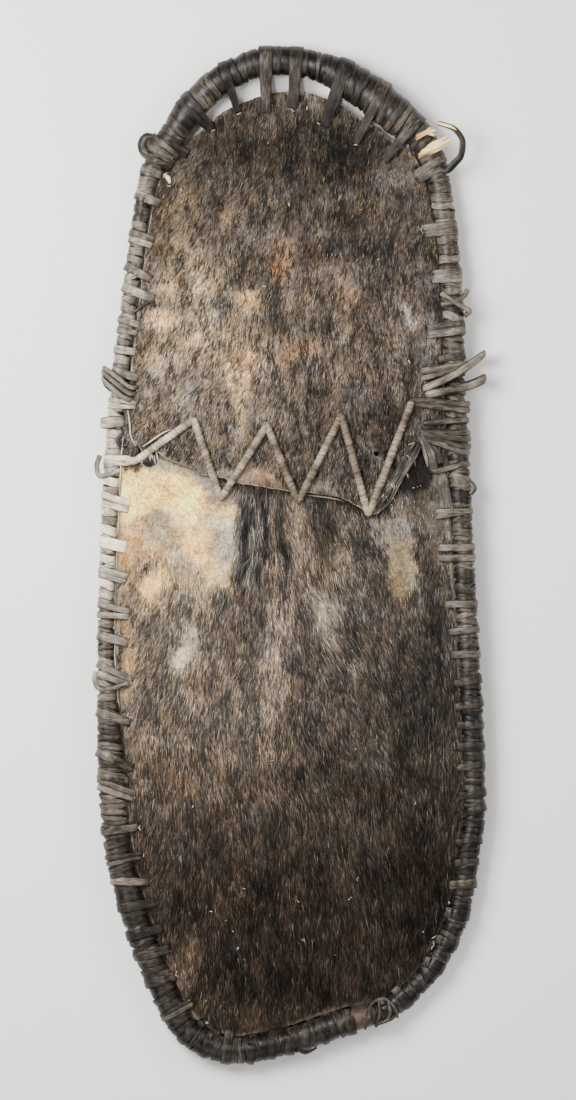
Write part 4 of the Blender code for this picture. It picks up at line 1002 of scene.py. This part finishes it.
def inset_loop(loop, far):
    """A clockwise loop moved inwards, without the points that would cross."""
    ahead = unit(np.roll(loop, -1, axis=0) - np.roll(loop, 1, axis=0))
    moved = loop + np.stack([ahead[:, 1], -ahead[:, 0]], axis=1) * far
    gaps = np.array([np.min(np.linalg.norm(loop - p, axis=1)) for p in moved])
    return moved[(gaps > far * 0.8) & inside(moved, loop)]


def border_edges(faces):
    """The directed edges that only one triangle has."""
    edges = np.vstack([faces[:, [0, 1]], faces[:, [1, 2]], faces[:, [2, 0]]])
    key = np.sort(edges, axis=1)
    _, index, counts = np.unique(key, axis=0, return_index=True, return_counts=True)
    return edges[index[counts == 1]]


def hide_net(upper):
    """A hide's plane as points and triangles, its hole cut out."""
    loop = outline_of(upper)
    if upper:
        turn = np.linspace(0, 6.28, 9)[:-1]
        hole = spot(*OLD_HOLE) + 0.0027 * np.array([[math.cos(a), math.sin(a)] for a in turn])
    else:
        hole = smooth(spots(TORN_HOLE), 4, closed=True)
    start, end = loop.min(0), loop.max(0)
    columns, rows = np.arange(start[0], end[0], GRID), np.arange(start[1], end[1], GRID * 0.87)
    grid = np.stack(np.meshgrid(columns, rows), axis=-1)
    grid[1::2, :, 0] += GRID / 2
    grid = grid.reshape(-1, 2)
    grid = grid + 0.0006 * drift(grid, 0.002, 3, 4, kind=noise)
    grid = grid[inside(grid, loop) & ~inside(grid, hole)]
    fixed = np.vstack([loop, hole, inset_loop(loop, 0.0012)])
    clear = np.ones(len(grid), bool)
    for p in fixed:
        clear &= (grid[:, 0] - p[0]) ** 2 + (grid[:, 1] - p[1]) ** 2 > (GRID * 0.5) ** 2
    points = [Vector(p) for p in np.vstack([fixed, grid[clear]])]
    borders, first = [], 0
    for ring in (loop, hole):
        borders += [(first + i, first + (i + 1) % len(ring)) for i in range(len(ring))]
        first += len(ring)
    found = delaunay_2d_cdt(points, borders, [], 0, 1e-7)
    flat = np.array([tuple(p) for p in found[0]])
    faces = np.array(found[2])
    middle = flat[faces].mean(axis=1)
    faces = faces[inside(middle, loop) & ~inside(middle, hole)]
    used = np.unique(faces)
    fresh = np.full(len(flat), -1)
    fresh[used] = np.arange(len(used))
    return flat[used], fresh[faces]


def build_hide(name, upper, node, skin):
    """A hide as a fine sheet with both faces and its cut edge."""
    flat, faces = hide_net(upper)
    top = skin_height(flat, upper)
    border = border_edges(faces)
    on_edge = np.zeros(len(flat), bool)
    on_edge[np.unique(border)] = True
    front = np.column_stack([flat, top - 0.0005 * on_edge])
    back = np.column_stack([flat, top - SKIN + 0.0005 * on_edge])
    count = len(flat)
    walls = [(b, a, a + count, b + count) for a, b in border.tolist()]
    mesh = bpy.data.meshes.new(name)
    all_faces = [*faces.tolist(), *(faces[:, ::-1] + count).tolist(), *walls]
    mesh.from_pydata(np.vstack([front, back]).tolist(), [], all_faces)
    colour, bare = field(flat, upper)
    hairless = np.clip(bare, 0, 1)[:, None]
    grey = colour.mean(axis=1, keepdims=True)
    skin_tone = np.minimum(1.0, (grey + (colour - grey) * 1.1) * (0.85 + 0.15 * hairless))
    pale = light((190, 174, 146)) * (0.8 + 0.25 * noise(flat, 0.01, 7))[:, None]
    worn = np.clip(noise(flat, 0.03, 15) * 1.5 + 0.55, 0, 1)[:, None]
    worn = worn * np.where(flat[:, 1:] < -0.30, 0.25, 1.0)
    brim = on_edge | (np.abs(rim_distance(flat) - 0.0006) < 0.0009)
    skin_tone[brim] = (pale * worn + skin_tone * (1 - worn))[brim]
    tone = np.ones((2 * count, 4))
    tone[:count, :3] = skin_tone
    tone[:count, 3] = hairless[:, 0]
    tone[count:, :3] = light((120, 98, 72)) * (0.9 + 0.25 * rough(flat, 0.04, 19))[:, None]
    attribute = mesh.attributes.new("tone", "FLOAT_COLOR", "POINT")
    attribute.data.foreach_set("color", tone.astype(np.float32).ravel())
    smooth_piece(name, mesh, skin, (node,))


def grain_angle(xy, upper, rng):
    """Which way the hair lies, as an angle from straight down, positive to the right."""
    px = xy[:, 0] * 1000 + MIDDLE_PX[0]
    py = MIDDLE_PX[1] - xy[:, 1] * 1000
    if upper:
        lean = np.interp(px, [130, 230, 330, 440], [-0.55, -0.30, -0.10, -0.12])
    else:
        spread = np.interp(py, [470, 600, 760, 1030], [0.20, 0.42, 0.22, 0.10])
        lean = np.interp(px, [120, 250, 270, 340, 460], [-0.9, -0.1, 0.1, 1.0, 0.25]) * spread
    sway = 0.30 * rough(xy, 0.045, 91) + 0.22 * rough(xy, 0.012, 97)
    return lean + sway + rng.normal(0, 0.16, len(xy))


def hide_hairs(upper, rng):
    """A hide's hairs: root, tip, direction, length, colour, and the skin's height at both ends."""
    loop = outline_of(upper)
    seam = smooth(spots(UPPER_EDGE), 6)
    start, end = loop.min(0), loop.max(0)
    count = int(HAIR_DENSITY[upper] * 1e6 * float(np.prod(end - start)))
    xy = start + rng.random((count, 2)) * (end - start)
    xy = xy[inside(xy, loop)]
    if upper:
        xy = xy[np.linalg.norm(xy - spot(*OLD_HOLE), axis=1) > 0.0045]
    else:
        xy = xy[xy[:, 1] < line_y(seam, xy[:, 0]) + 0.012]
        xy = xy[~inside(xy, spots(TORN_HOLE))]
    colour, bare = field(xy, upper)
    thin = 0.16 * rough(xy, 0.02, 101)
    keep = rng.random(len(xy)) > np.clip(bare * 1.1 + thin, 0, 1) * 0.985
    xy, colour, bare = xy[keep], colour[keep], bare[keep]
    angle = grain_angle(xy, upper, rng)
    length = rng.uniform(*HAIR_LENGTH[upper], len(xy)) * (1 - 0.45 * np.clip(bare, 0, 1))
    if not upper:
        length *= np.interp(xy[:, 1], [-0.45, -0.25, -0.10], [1.3, 1.3, 1.0])
        for px, py, reach_x, reach_y, extra in LONG_HAIR:
            off = (xy - spot(px, py)) / np.array([reach_x, reach_y]) * 1000
            length *= 1 + extra * np.exp(-(off**2).sum(axis=1))
    way = np.stack([np.sin(angle), -np.cos(angle)], axis=1)
    tips = xy + way * length[:, None]
    keep = inside(tips, hide_rim(np.linspace(0, LENGTH, 300, endpoint=False)))
    if upper:
        keep &= tips[:, 1] > line_y(seam, tips[:, 0]) - FRINGE
        keep &= np.linalg.norm(tips - spot(*OLD_HOLE), axis=1) > 0.0035
    xy, tips, colour, length, way = xy[keep], tips[keep], colour[keep], length[keep], way[keep]
    shade = hair_shade(xy, colour, upper, rng)
    return xy, tips, way, length, shade, skin_height(xy, upper), skin_height(tips, upper)


def hair_shade(xy, colour, upper, rng):
    """Each hair's colour: dark or bright in locks, about the hide's colour under it, some pale."""
    lock = noise(xy * [1.0, 0.3], 0.0024, 111) * 0.6 + noise(xy * [1.0, 0.4], 0.007, 113) * 0.4
    grey = colour.mean(axis=1, keepdims=True)
    bright = np.clip((grey[:, 0] - 0.04) / 0.14, 0, 1)
    dark = rng.random(len(xy)) < 0.50 + (0.95 if upper else 0.60) * lock
    chance = rng.random(len(xy))
    least = 0.26 + 0.36 * chance - bright * (0.16 + 0.14 * chance)
    most = 0.9 + 1.7 * chance**2 - bright * (0.05 + 0.6 * chance**2)
    if upper:
        least, most = least * 0.85, most + 0.9 * chance**2
    vivid = grey + (colour - grey) * (1.15 if upper else 1.0)
    dull = grey + (colour - grey) * 0.30
    shade = np.where(dark[:, None], dull * least[:, None], vivid * most[:, None]) * HAIR_GAIN[upper]
    pale = rng.random(len(xy)) < PALE_HAIRS[upper]
    shade[pale] = light((176, 164, 146)) * rng.uniform(0.5, 1.1, pale.sum())[:, None]
    return shade


def build_hair(hair):
    """Each hair is a thin closed spike that lies low on the skin."""
    rng = np.random.default_rng(23)
    hides = [hide_hairs(upper, rng) for upper in (True, False)]
    roots, tips, ahead, length, tone, root_z, tip_z = (np.concatenate(part) for part in zip(*hides))
    rise = length * np.tan(np.radians(np.clip(rng.normal(10, 5, len(roots)), 2, 28)))
    base = np.column_stack([roots, root_z - 0.0003])
    tip = np.column_stack([tips, tip_z + rise])
    side = np.column_stack([-ahead[:, 1], ahead[:, 0], np.zeros(len(roots))])
    width = rng.uniform(0.00022, 0.00036, len(roots))
    width = np.where(rng.random(len(roots)) < 0.40, width * 1.6, width)[:, None]
    roll = rng.normal(0, 0.5, len(roots))
    up = side * np.sin(roll)[:, None] + np.array([0, 0, 1.0]) * np.cos(roll)[:, None]
    corners = [base + side * width, base + up * width * 1.3, base - side * width, tip]
    corners = np.stack(corners, axis=1)
    order = np.argsort(roots[:, 1])
    for index, part in enumerate(np.array_split(order, HAIR_PIECES)):
        name = f"hair_{index + 1}"
        piece(name, spikes(name, corners[part], tone[part]), hair, ())


def spikes(name, corners, tone):
    """Closed spikes of four triangles as one mesh, darker at the root than at the tip."""
    count = len(corners)
    mesh = bpy.data.meshes.new(name)
    mesh.vertices.add(count * 4)
    mesh.vertices.foreach_set("co", corners.astype(np.float32).ravel())
    local = np.array([(0, 1, 3), (1, 2, 3), (2, 0, 3), (0, 2, 1)])
    loops = (np.arange(count)[:, None, None] * 4 + local[None]).reshape(-1)
    mesh.loops.add(len(loops))
    mesh.loops.foreach_set("vertex_index", loops.astype(np.int32))
    mesh.polygons.add(count * 4)
    mesh.polygons.foreach_set("loop_start", np.arange(0, count * 12, 3, dtype=np.int32))
    mesh.update(calc_edges=True)
    colours = np.ones((count, 4, 4), np.float32)
    colours[:, :3, :3] = (tone * 0.55)[:, None]
    colours[:, 3, :3] = tone * 1.15
    attribute = mesh.attributes.new("tone", "FLOAT_COLOR", "POINT")
    attribute.data.foreach_set("color", colours.ravel())
    flat = (corners[..., :2] / 1.1 + 0.5).reshape(-1, 2)[loops]
    mesh.uv_layers.new(name="OFBake").data.foreach_set("uv", flat.astype(np.float32).ravel())
    mesh.validate()
    return mesh


def build_cord(cord):
    """The zigzag cord with its fine wrapping; it dips through the hides at its corners."""
    corners = spots(CORD_CORNERS)
    flat, dips = [], []
    for start, end in zip(corners, corners[1:]):
        way = (end - start) / np.linalg.norm(end - start)
        flat += [start + way * far / 1000 for far, _ in CORD_DIPS]
        flat += [end - way * far / 1000 for far, _ in CORD_DIPS[:0:-1]]
        dips += [dip for _, dip in CORD_DIPS + CORD_DIPS[:0:-1]]
    flat, dips = np.array([*flat, corners[-1]]), np.array([*dips, CORD_DIPS[0][1]])
    lengths = travelled(flat)
    s = np.arange(0, lengths[-1], 0.0007)
    line = np.stack([np.interp(s, lengths, flat[:, k]) for k in range(2)], axis=1)
    dip = np.interp(s, lengths, dips)
    kernel = np.hanning(9) / np.hanning(9).sum()
    line = [np.convolve(np.pad(line[:, k], 4, "edge"), kernel, "valid") for k in range(2)]
    line = np.stack(line, axis=1)
    on_upper = line[:, 1] > line_y(UPPER_LINE, line[:, 0])
    height = np.where(on_upper, skin_height(line, True), skin_height(line, False))
    height = np.maximum(height, skin_height(line, False) + 0.002)
    height = np.convolve(np.pad(height, 10, "edge"), np.hanning(21) / np.hanning(21).sum(), "valid")
    is_top = np.interp(line[:, 1], [0.07, 0.12], [0, 1])
    radius = CORD_RADIUS * (1 - 0.22 * dip * (1 - is_top)) * (1 + 0.05 * line_noise(s, 0.03, 5))
    path = np.column_stack([line, height + radius * 0.95 - 0.003 * dip**2 * (1 - 0.5 * is_top)])
    ahead = unit(np.gradient(path, axis=0))
    side = unit(np.cross(ahead, [0, 0, 1.0]))
    up = np.cross(side, ahead)
    around = np.linspace(0, 2 * np.pi, 12, endpoint=False)
    wrap = (s[:, None] / WRAP + around[None] / (2 * np.pi)) % 1.0 * 2 - 1
    r = radius[:, None] * (0.86 + 0.17 * np.sqrt(1 - wrap**2 * 0.98))
    cosine, sine = np.cos(around)[None, :, None], np.sin(around)[None, :, None]
    rings = path[:, None] + (side[:, None] * cosine + up[:, None] * sine) * r[..., None]
    seed = (np.floor(s / WRAP) * 1.7)[:, None]
    shade = np.interp(s, [0, 0.07, 0.09, 0.3, s[-1]], [0.84, 0.80, 0.58, 0.54, 0.52])
    shade = shade + 0.12 * line_noise(s, 0.004, 8) + 0.08 * line_noise(s, 0.02, 8)
    pile = Pile()
    pile.add(rings, around * 0.004, wrap, seed, shade)
    pile.make("seam_cord_wrapped", cord, ("seam_cord",), 80)


def build_grip(cane):
    """The grip: loops of strands at both sides, strands across the back and a bound handle."""
    rng = np.random.default_rng(31)
    pile = Pile()
    for line, half, shade in GRIP_LOOPS:
        points = high(line)
        strand_along(pile, points, half / 1000, 0.0026, shade, rng, up=loop_up(points))
    columns = (432, 400, 350, 320, 291, 262, 232, 175, 132)
    for row in range(5):
        y = 368 + row * 5.4
        z = 7.0 + (0.8 if row % 2 else 0.0)
        line = [(x, y + rng.normal(0, 0.7), z) for x in columns]
        strand_along(pile, high(line), 0.0029, 0.0026, 0.36, rng, up=(0, 0, -1))
    pile.make("grip_strands", cane, ("grip",))
    pile = Pile()
    middle = np.array([*spot(291, 379), 0.0074])
    around = np.linspace(0, 2 * np.pi, 22)
    for start in np.arange(-0.0575, 0.0575, 0.0062):
        x = middle[0] + start + 0.0031 + 0.0012 * np.sin(around + 0.4)
        y, z = middle[1] + 0.0138 * np.cos(around), middle[2] + 0.0056 * np.sin(around)
        path = np.stack([x, y, z], axis=1)
        out = unit(np.stack([0 * around, np.cos(around) * 0.7, np.sin(around)], axis=1))
        side = np.broadcast_to(np.array([1.0, 0, 0]), path.shape)
        ribbon(pile, path, side, out, 0.0033, 0.0012, np.clip(rng.normal(0.34, 0.06), 0, 1), rng)
    pile.make("grip_handle", cane)


def loop_up(points):
    """Outward directions along a loop round the rim, for strand_along."""
    line = smooth(np.array(points), STRAND_STEPS)
    out = np.cross([0.0, 1.0, 0.0], unit(np.gradient(line, axis=0)))
    return out if out[len(line) // 4, 2] > 0 else -out


def build_ends(cane, pale):
    """The curled end, the splinter, knots and frayed ends round the rim."""
    rng = np.random.default_rng(47)
    pile = Pile()
    half, shade = [0.0034, 0.0036, 0.0034, 0.0030, 0.0024], [0.10, 0.10, 0.14, 0.18, 0.22]
    strand_along(pile, high(CURL), half, 0.0022, shade, 3.0, up=(0.25, 0.1, 1))
    for knot in KNOTS:
        strand_along(pile, high(knot), 0.0026, 0.0026, rng.uniform(0.38, 0.55), rng)
    strand_along(pile, on_rim(HOOK), 0.0014, 0.0016, 0.26, 12.0)
    half, shade = [0.0030, 0.0044, 0.0046, 0.0042, 0.0028], [0.24, 0.36, 0.24, 0.30]
    for bulge in BULGES:
        strand_along(pile, on_rim(bulge), half, 0.0030, shade, rng, up=(-0.4, 0.2, 1))
    strand_along(pile, high(LUMP), [0.0045, 0.0058, 0.0062, 0.0058, 0.0040], 0.0030, 0.74, 7.0)
    turn = np.linspace(0, 2 * np.pi, 13)
    ring = [(123 + 4.8 * math.sin(a), 441 + 5.6 * math.cos(a), 28.5) for a in turn]
    strand_along(pile, high(ring), 0.0018, 0.0016, 0.26, 8.0)
    # A black disc inside the ring: painted shade in the hollow of the cut end.
    hollow_shade = high([(123, 436, 28), (123, 441, 28.4), (123, 446, 28)])
    strand_along(pile, hollow_shade, [0.0024, 0.0042, 0.0024], 0.0008, 0.0, 9.0)
    for (x0, y0), (x1, y1) in FAN:
        line = [(x0 - 6, y0, 8), (x0 - 0.5, y0, 20), (x0 - 8, y0, 33.5)]
        line += [((x0 + x1) / 2, (y0 + y1) / 2, 35), (x1 + 4, y1, 34)]
        line += [(x1, y1, 32), (x1 - 1, y1, 26)]
        strand_along(pile, high(line), 0.0031, 0.0029, rng.uniform(0.20, 0.38), rng, up=(0.3, 0, 1))
    for line in FRAY:
        shade = rng.uniform(0.16, 0.36)
        strand_along(pile, on_rim(line), [0.0012, 0.0020, 0.0010], 0.0012, shade, rng)
    pile.make("loose_ends", cane)
    pile = Pile()
    thick, shade = [0.0012, 0.0034, 0.0036, 0.0010], [0.35, 0.8, 1.0, 1.0]
    for (x1, y1), lift, half in SPLINTERS:
        x0, y0 = 420 + rng.normal(0, 1.6), 156 + rng.normal(0, 1.2)
        middle = (0.5 * x0 + 0.5 * x1 - 2, 0.45 * y0 + 0.55 * y1 + 1.0, lift + 2)
        halves = [half * 0.5, half * 1.3, half * 1.3, half * 0.5]
        line = high([(x0, y0, 33.5), middle, (x1, y1, lift)])
        strand_along(pile, line, halves, thick, shade, rng)
    half, thick, shade = [0.0012, 0.0026, 0.0014], [0.001, 0.002, 0.0008], [0.3, 0.7, 0.95]
    for x1, y1 in ((435, 131), (434, 136), (430, 129), (428, 133)):
        line = [(416, 139 + rng.normal(0, 1.5), 36), (425, 134, 39), (x1, y1, 37)]
        strand_along(pile, high(line), half, thick, shade, rng)
    bare_end = high([(456, 131, 35), (451, 128, 35), (445, 126, 34.5), (438, 124, 33.5)])
    half, shade = [0.0004, 0.0015, 0.0016, 0.0012], [0.6, 0.9, 1.0, 0.9]
    strand_along(pile, bare_end, half, 0.0009, shade, 9.0, up=(0.25, 0.1, 1))
    pile.make("broken_end", pale)


def build_torn(raw):
    """The frayed strip of the upper hide's torn corner, and the smooth flap under it."""
    rng = np.random.default_rng(61)
    pile = Pile()
    middle = [(417, 444), (410, 457), (402, 471), (394, 484), (387, 496), (379, 508)]
    middle = np.array(middle, float)
    side = np.array([-0.86, -0.50])
    for i in range(15):
        across = -4.5 + 10.5 * i / 14
        drop = rng.uniform(0, 0.35) if i % 3 else 0.0
        line = middle + side * across + rng.normal(0, 0.8, middle.shape)
        line = over(line[: 5 if drop > 0.22 else 6], True, rng.uniform(0.0004, 0.0022))
        shade = np.clip(rng.normal(0.13, 0.12) + rng.normal(0, 0.13, 4), 0.02, 1)
        shade = shade + (0.16 if i in (0, 14) else 0.0)
        strand_along(pile, line, [0.0006, 0.0011, 0.0010, 0.0004], 0.0009, shade, rng)
    for _ in range(26):
        start = middle[int(rng.uniform(0, 5))] + side * rng.uniform(-5, 7)
        end = start + np.array([rng.normal(0, 3.2), rng.uniform(2, 8)])
        rise = np.array([0.001, 0.004, 0.003]) * rng.uniform(0.4, 1.0)
        line = over([start, (start + end) / 2, end], True, rise)
        strand_along(pile, line, [0.0003, 0.0004, 0.0002], 0.0004, rng.uniform(0.4, 1.0), 1.0)
    for _ in range(12):
        start = np.array([rng.uniform(143, 157), rng.uniform(448, 460)])
        end = start + np.array([rng.normal(0, 3.0), rng.uniform(5, 10)])
        line = over([start, (start + end) / 2, end], False, [0.002, 0.0035, 0.001])
        strand_along(pile, line, [0.0003, 0.0005, 0.0002], 0.0004, rng.uniform(0.7, 1.0), 1.0)
    half = [0.0003, 0.0007, 0.0006, 0.0003]
    for line, rise in THREADS:
        strand_along(pile, over(line, True, rise), half, 0.0007, 0.95, 2.0)
    flap = over(FLAP, False, [0.0004, 0.001, 0.0016, 0.0022, 0.0026])
    half, shade = [0.0100, 0.0100, 0.0085, 0.0066, 0.0026], [0.30, 0.25, 0.28, 0.26, 0.3]
    strand_along(pile, flap, half, 0.0012, shade, 17.0, section=FLAT_STRIP)
    for line, half, shade, lean in CRUMPLES:
        line = over(line, True, np.linspace(0.0012, 0.0002, len(line)))
        strand_along(pile, line, half, 0.0011, shade, 21.0, up=(lean, 0.1, 1), section=FLAT_STRIP)
    half, shade = [0.0003, 0.0007, 0.0007, 0.0003], [0.25, 0.5, 0.45, 0.25]
    for line in SEAM_LIPS:
        strand_along(pile, over(line, True, 0.0006), half, 0.0008, shade, 5.0)
    rim_line = over([(452, 508), (450, 495), (448, 484), (445, 475)], False, 0.0018)
    strand_along(pile, rim_line, 0.0008, 0.0009, 0.85, 5.0)
    for above, below in PALE_EDGES:
        s = np.linspace(nearest(spot(100, below)), nearest(spot(100, above)), 6)
        point, inward, size, _ = rim(s)
        flat = point + inward * (size + 0.0005 + 0.0003 * rng.normal(0, 1, 6))[:, None]
        half = [0.0003, 0.0007, 0.0006, 0.0003]
        strand_along(pile, lifted(flat, False, 0.0030), half, 0.0008, rng.uniform(0.5, 0.9), 5.0)
    pile.make("torn_corner", raw, ())


class Look:
    """A Principled material and short ways to add nodes to it."""

    def __init__(self, name, roughness, specular=0.5):
        self.material = bpy.data.materials.new(name)
        self.material.use_nodes = True
        self.nodes = self.material.node_tree.nodes
        self.links = self.material.node_tree.links
        self.shader = self.nodes["Principled BSDF"]
        self.shader.inputs["Roughness"].default_value = roughness
        self.shader.inputs["Specular IOR Level"].default_value = specular

    def node(self, kind, inputs=None, **settings):
        made = self.nodes.new("ShaderNode" + kind)
        for key, value in settings.items():
            setattr(made, key, value)
        for key, value in (inputs or {}).items():
            if isinstance(value, bpy.types.NodeSocket):
                self.links.new(value, made.inputs[key])
            else:
                made.inputs[key].default_value = value
        return made

    def attribute(self, name):
        return self.node("Attribute", attribute_name=name)

    def math(self, operation, a, b=0.0, clamp=False):
        return self.node("Math", {0: a, 1: b}, operation=operation, use_clamp=clamp).outputs[0]

    def times(self, a, b):
        return self.math("MULTIPLY", a, b)

    def scaled(self, vector, scale):
        return self.node("VectorMath", {0: vector, 1: scale}, operation="MULTIPLY").outputs[0]

    def noise(self, vector, scale, detail):
        inputs = {"Vector": vector, "Scale": scale, "Detail": detail, "Roughness": 0.6}
        return self.node("TexNoise", inputs).outputs["Fac"]

    def ramp(self, value, stops):
        made = self.node("ValToRGB", {"Fac": value})
        elements = made.color_ramp.elements
        while len(elements) < len(stops):
            elements.new(0.5)
        for element, (position, colour) in zip(elements, stops):
            element.position = position
            element.color = (*light(colour), 1.0)
        return made.outputs["Color"]

    def level(self, value, start, end, to_start, to_end):
        inputs = {"Value": value, "From Min": start, "From Max": end}
        inputs |= {"To Min": to_start, "To Max": to_end}
        return self.node("MapRange", inputs).outputs["Result"]

    def mix(self, factor, a, b, blend):
        inputs = {0: factor, 6: a, 7: b}
        return self.node("Mix", inputs, data_type="RGBA", blend_type=blend).outputs[2]

    def dimmed(self, colour, factor):
        grey = self.node("CombineColor", {0: factor, 1: factor, 2: factor}).outputs[0]
        return self.mix(1.0, colour, grey, "MULTIPLY")

    def finish(self, colour, height=None, deep=0.0005, strength=1.0, roughness=None):
        self.links.new(colour, self.shader.inputs["Base Color"])
        if roughness is not None:
            self.links.new(roughness, self.shader.inputs["Roughness"])
        if height is not None:
            bump = self.node("Bump", {"Height": height, "Distance": deep, "Strength": strength})
            self.links.new(bump.outputs["Normal"], self.shader.inputs["Normal"])
        return self.material


def cane_look(name, stops, fibres=4.0, groove_shade=0.78, gloss=0.28):
    """Split cane: fibres along each strip, patchy tone, and painted shade that darkens each strip
    towards its edges, in the grooves between the turns.
    """
    look = Look(name, 0.5, gloss)
    strand = look.attribute("strand").outputs["Vector"]
    place = look.node("TexCoord").outputs["Object"]
    streaks = look.noise(look.scaled(strand, (130, fibres, 1)), 1.0, 3.0)
    broad = look.noise(look.scaled(strand, (30, 0.8, 1)), 1.0, 2.0)
    patches = look.noise(place, 45.0, 3.0)
    value = look.attribute("shade").outputs["Fac"]
    for part, reach in ((streaks, 0.16), (patches, 0.15), (broad, 0.08)):
        value = look.math("ADD", value, look.level(part, 0.3, 0.7, -reach, reach))
    across = look.node("SeparateXYZ", {0: strand}).outputs["Y"]
    # Painted shade: each strip darker towards its edges, where the grooves between turns lie.
    edge = look.level(look.math("ABSOLUTE", across), 0.74, 1.0, 1.0, 1.0 - groove_shade)
    colour = look.ramp(look.math("MULTIPLY", value, edge, clamp=True), stops)
    warm = look.level(look.noise(place, 26.0, 2.0), 0.52, 0.68, 0.0, 0.45)
    colour = look.mix(warm, colour, (*light((104, 72, 48)), 1.0), "OVERLAY")
    height = look.math("ADD", look.times(streaks, 0.7), look.times(patches, 0.5))
    roughness = look.level(broad, 0.3, 0.7, 0.30, 0.55)
    return look.finish(colour, height, 0.0006, 0.8, roughness)


def skin_look():
    """Dried rawhide: the painted field with fine grain, specks and cracks."""
    look = Look("skin", 0.75, 0.12)
    place = look.node("TexCoord").outputs["Object"]
    tone = look.attribute("tone").outputs["Color"]
    bare = look.attribute("tone").outputs["Alpha"]
    grain = look.noise(place, 420.0, 3.0)
    cloud = look.noise(place, 90.0, 4.0)
    dark = look.level(grain, 0.35, 0.65, 0.74, 1.2)
    dark = look.times(dark, look.level(cloud, 0.35, 0.65, 0.72, 1.22))
    bend = look.node("TexNoise", {"Vector": place, "Scale": 60.0}).outputs["Color"]
    bend = look.scaled(bend, (0.006, 0.006, 0.006))
    bent = look.node("VectorMath", {0: place, 1: bend}, operation="ADD").outputs[0]
    cells = look.node("TexVoronoi", {"Vector": bent, "Scale": 150.0}, feature="DISTANCE_TO_EDGE")
    pits = look.node("TexVoronoi", {"Vector": bent, "Scale": 330.0}, feature="F1")
    cracks = look.level(cells.outputs["Distance"], 0.0, 0.10, 0.60, 1.0)
    worn = look.times(cracks, look.level(pits.outputs["Distance"], 0.10, 0.34, 0.42, 1.05))
    worn = look.times(bare, look.math("SUBTRACT", worn, 1.0))
    colour = look.dimmed(tone, look.times(dark, look.math("ADD", 1.0, worn)))
    fine = look.noise(look.scaled(place, (1.0, 0.14, 1.0)), 800.0, 2.0)
    furry = look.math("SUBTRACT", 1.0, bare, clamp=True)
    fine = look.times(furry, look.level(fine, 0.35, 0.65, -0.65, 0.35))
    colour = look.dimmed(colour, look.math("ADD", 1.0, fine))
    height = look.math("ADD", look.times(grain, 0.4), cloud)
    return look.finish(colour, height, 0.0012, 0.8)


def hair_look():
    """Hair, in the colour that each hair's points carry."""
    look = Look("hair", 0.5, 0.10)
    return look.finish(look.attribute("tone").outputs["Color"])


def wood_look():
    """Bare bent cane: long fibres and patchy tone."""
    look = Look("rod", 0.55)
    place = look.node("TexCoord").outputs["Object"]
    grain = look.noise(look.scaled(place, (1.0, 0.3, 1.0)), 500.0, 3.0)
    patches = look.noise(place, 40.0, 3.0)
    value = look.math("ADD", look.times(grain, 0.6), look.times(patches, 0.4))
    return look.finish(look.ramp(value, WOOD_STOPS), grain, 0.0005, 0.6)


def placed(name, data):
    """A stage object in the scene: floor, lamp or camera."""
    made = bpy.data.objects.new(name, data)
    bpy.context.scene.collection.objects.link(made)
    return made


def build_room():
    """A pale floor, soft lights and the camera over the shield."""
    mesh = bpy.data.meshes.new("floor")
    corners = [(x * FLOOR_HALF, y * FLOOR_HALF, 0) for x, y in ((-1, -1), (1, -1), (1, 1), (-1, 1))]
    mesh.from_pydata(corners, [], [(0, 1, 2, 3)])
    look = Look("floor", 0.9, 0.2)
    look.shader.inputs["Base Color"].default_value = (0.93, 0.92, 0.905, 1.0)
    mesh.materials.append(look.material)
    floor = placed("floor", mesh)
    floor.location.z = -0.0005
    world = bpy.data.worlds.new("studio")
    world.use_nodes = True
    background = world.node_tree.nodes["Background"]
    background.inputs["Color"].default_value = (1.0, 0.99, 0.97, 1.0)
    background.inputs["Strength"].default_value = 0.455
    bpy.context.scene.world = world
    for name, place, aim, size, power in LAMPS:
        lamp = bpy.data.lights.new(name, "AREA")
        lamp.size, lamp.energy = size, power
        made = placed(name, lamp)
        made.location = place
        made.rotation_mode = "QUATERNION"
        made.rotation_quaternion = (Vector(aim) - Vector(place)).to_track_quat("-Z", "Y")
    lens = bpy.data.cameras.new("camera")
    lens.sensor_width, lens.lens, lens.clip_end = SENSOR, FOCAL, 50.0
    camera = placed("camera", lens)
    camera.location = (-0.0035, 0.005, 0.022 + VIEW_SPAN * FOCAL / SENSOR)
    bpy.context.scene.camera = camera


def build():
    """All the looks, then the stage, then every piece."""
    cane = cane_look("cane", CANE_STOPS)
    pale = cane_look("pale_cane", PALE_STOPS)
    cord = cane_look("cord", CORD_STOPS, 2.0, 0.85, 0.12)
    raw = cane_look("torn_hide", RAW_STOPS, 6.0, 0.3, 0.12)
    skin, hair, wood = skin_look(), hair_look(), wood_look()
    build_room()
    build_rods(wood)
    build_binding(cane, raw)
    build_joints(cane)
    build_hide("upper_hide_skin", True, "upper_hide", skin)
    build_hide("lower_hide_skin", False, "lower_hide", skin)
    build_hair(hair)
    build_cord(cord)
    build_grip(cane)
    build_ends(cane, pale)
    build_torn(raw)


build()
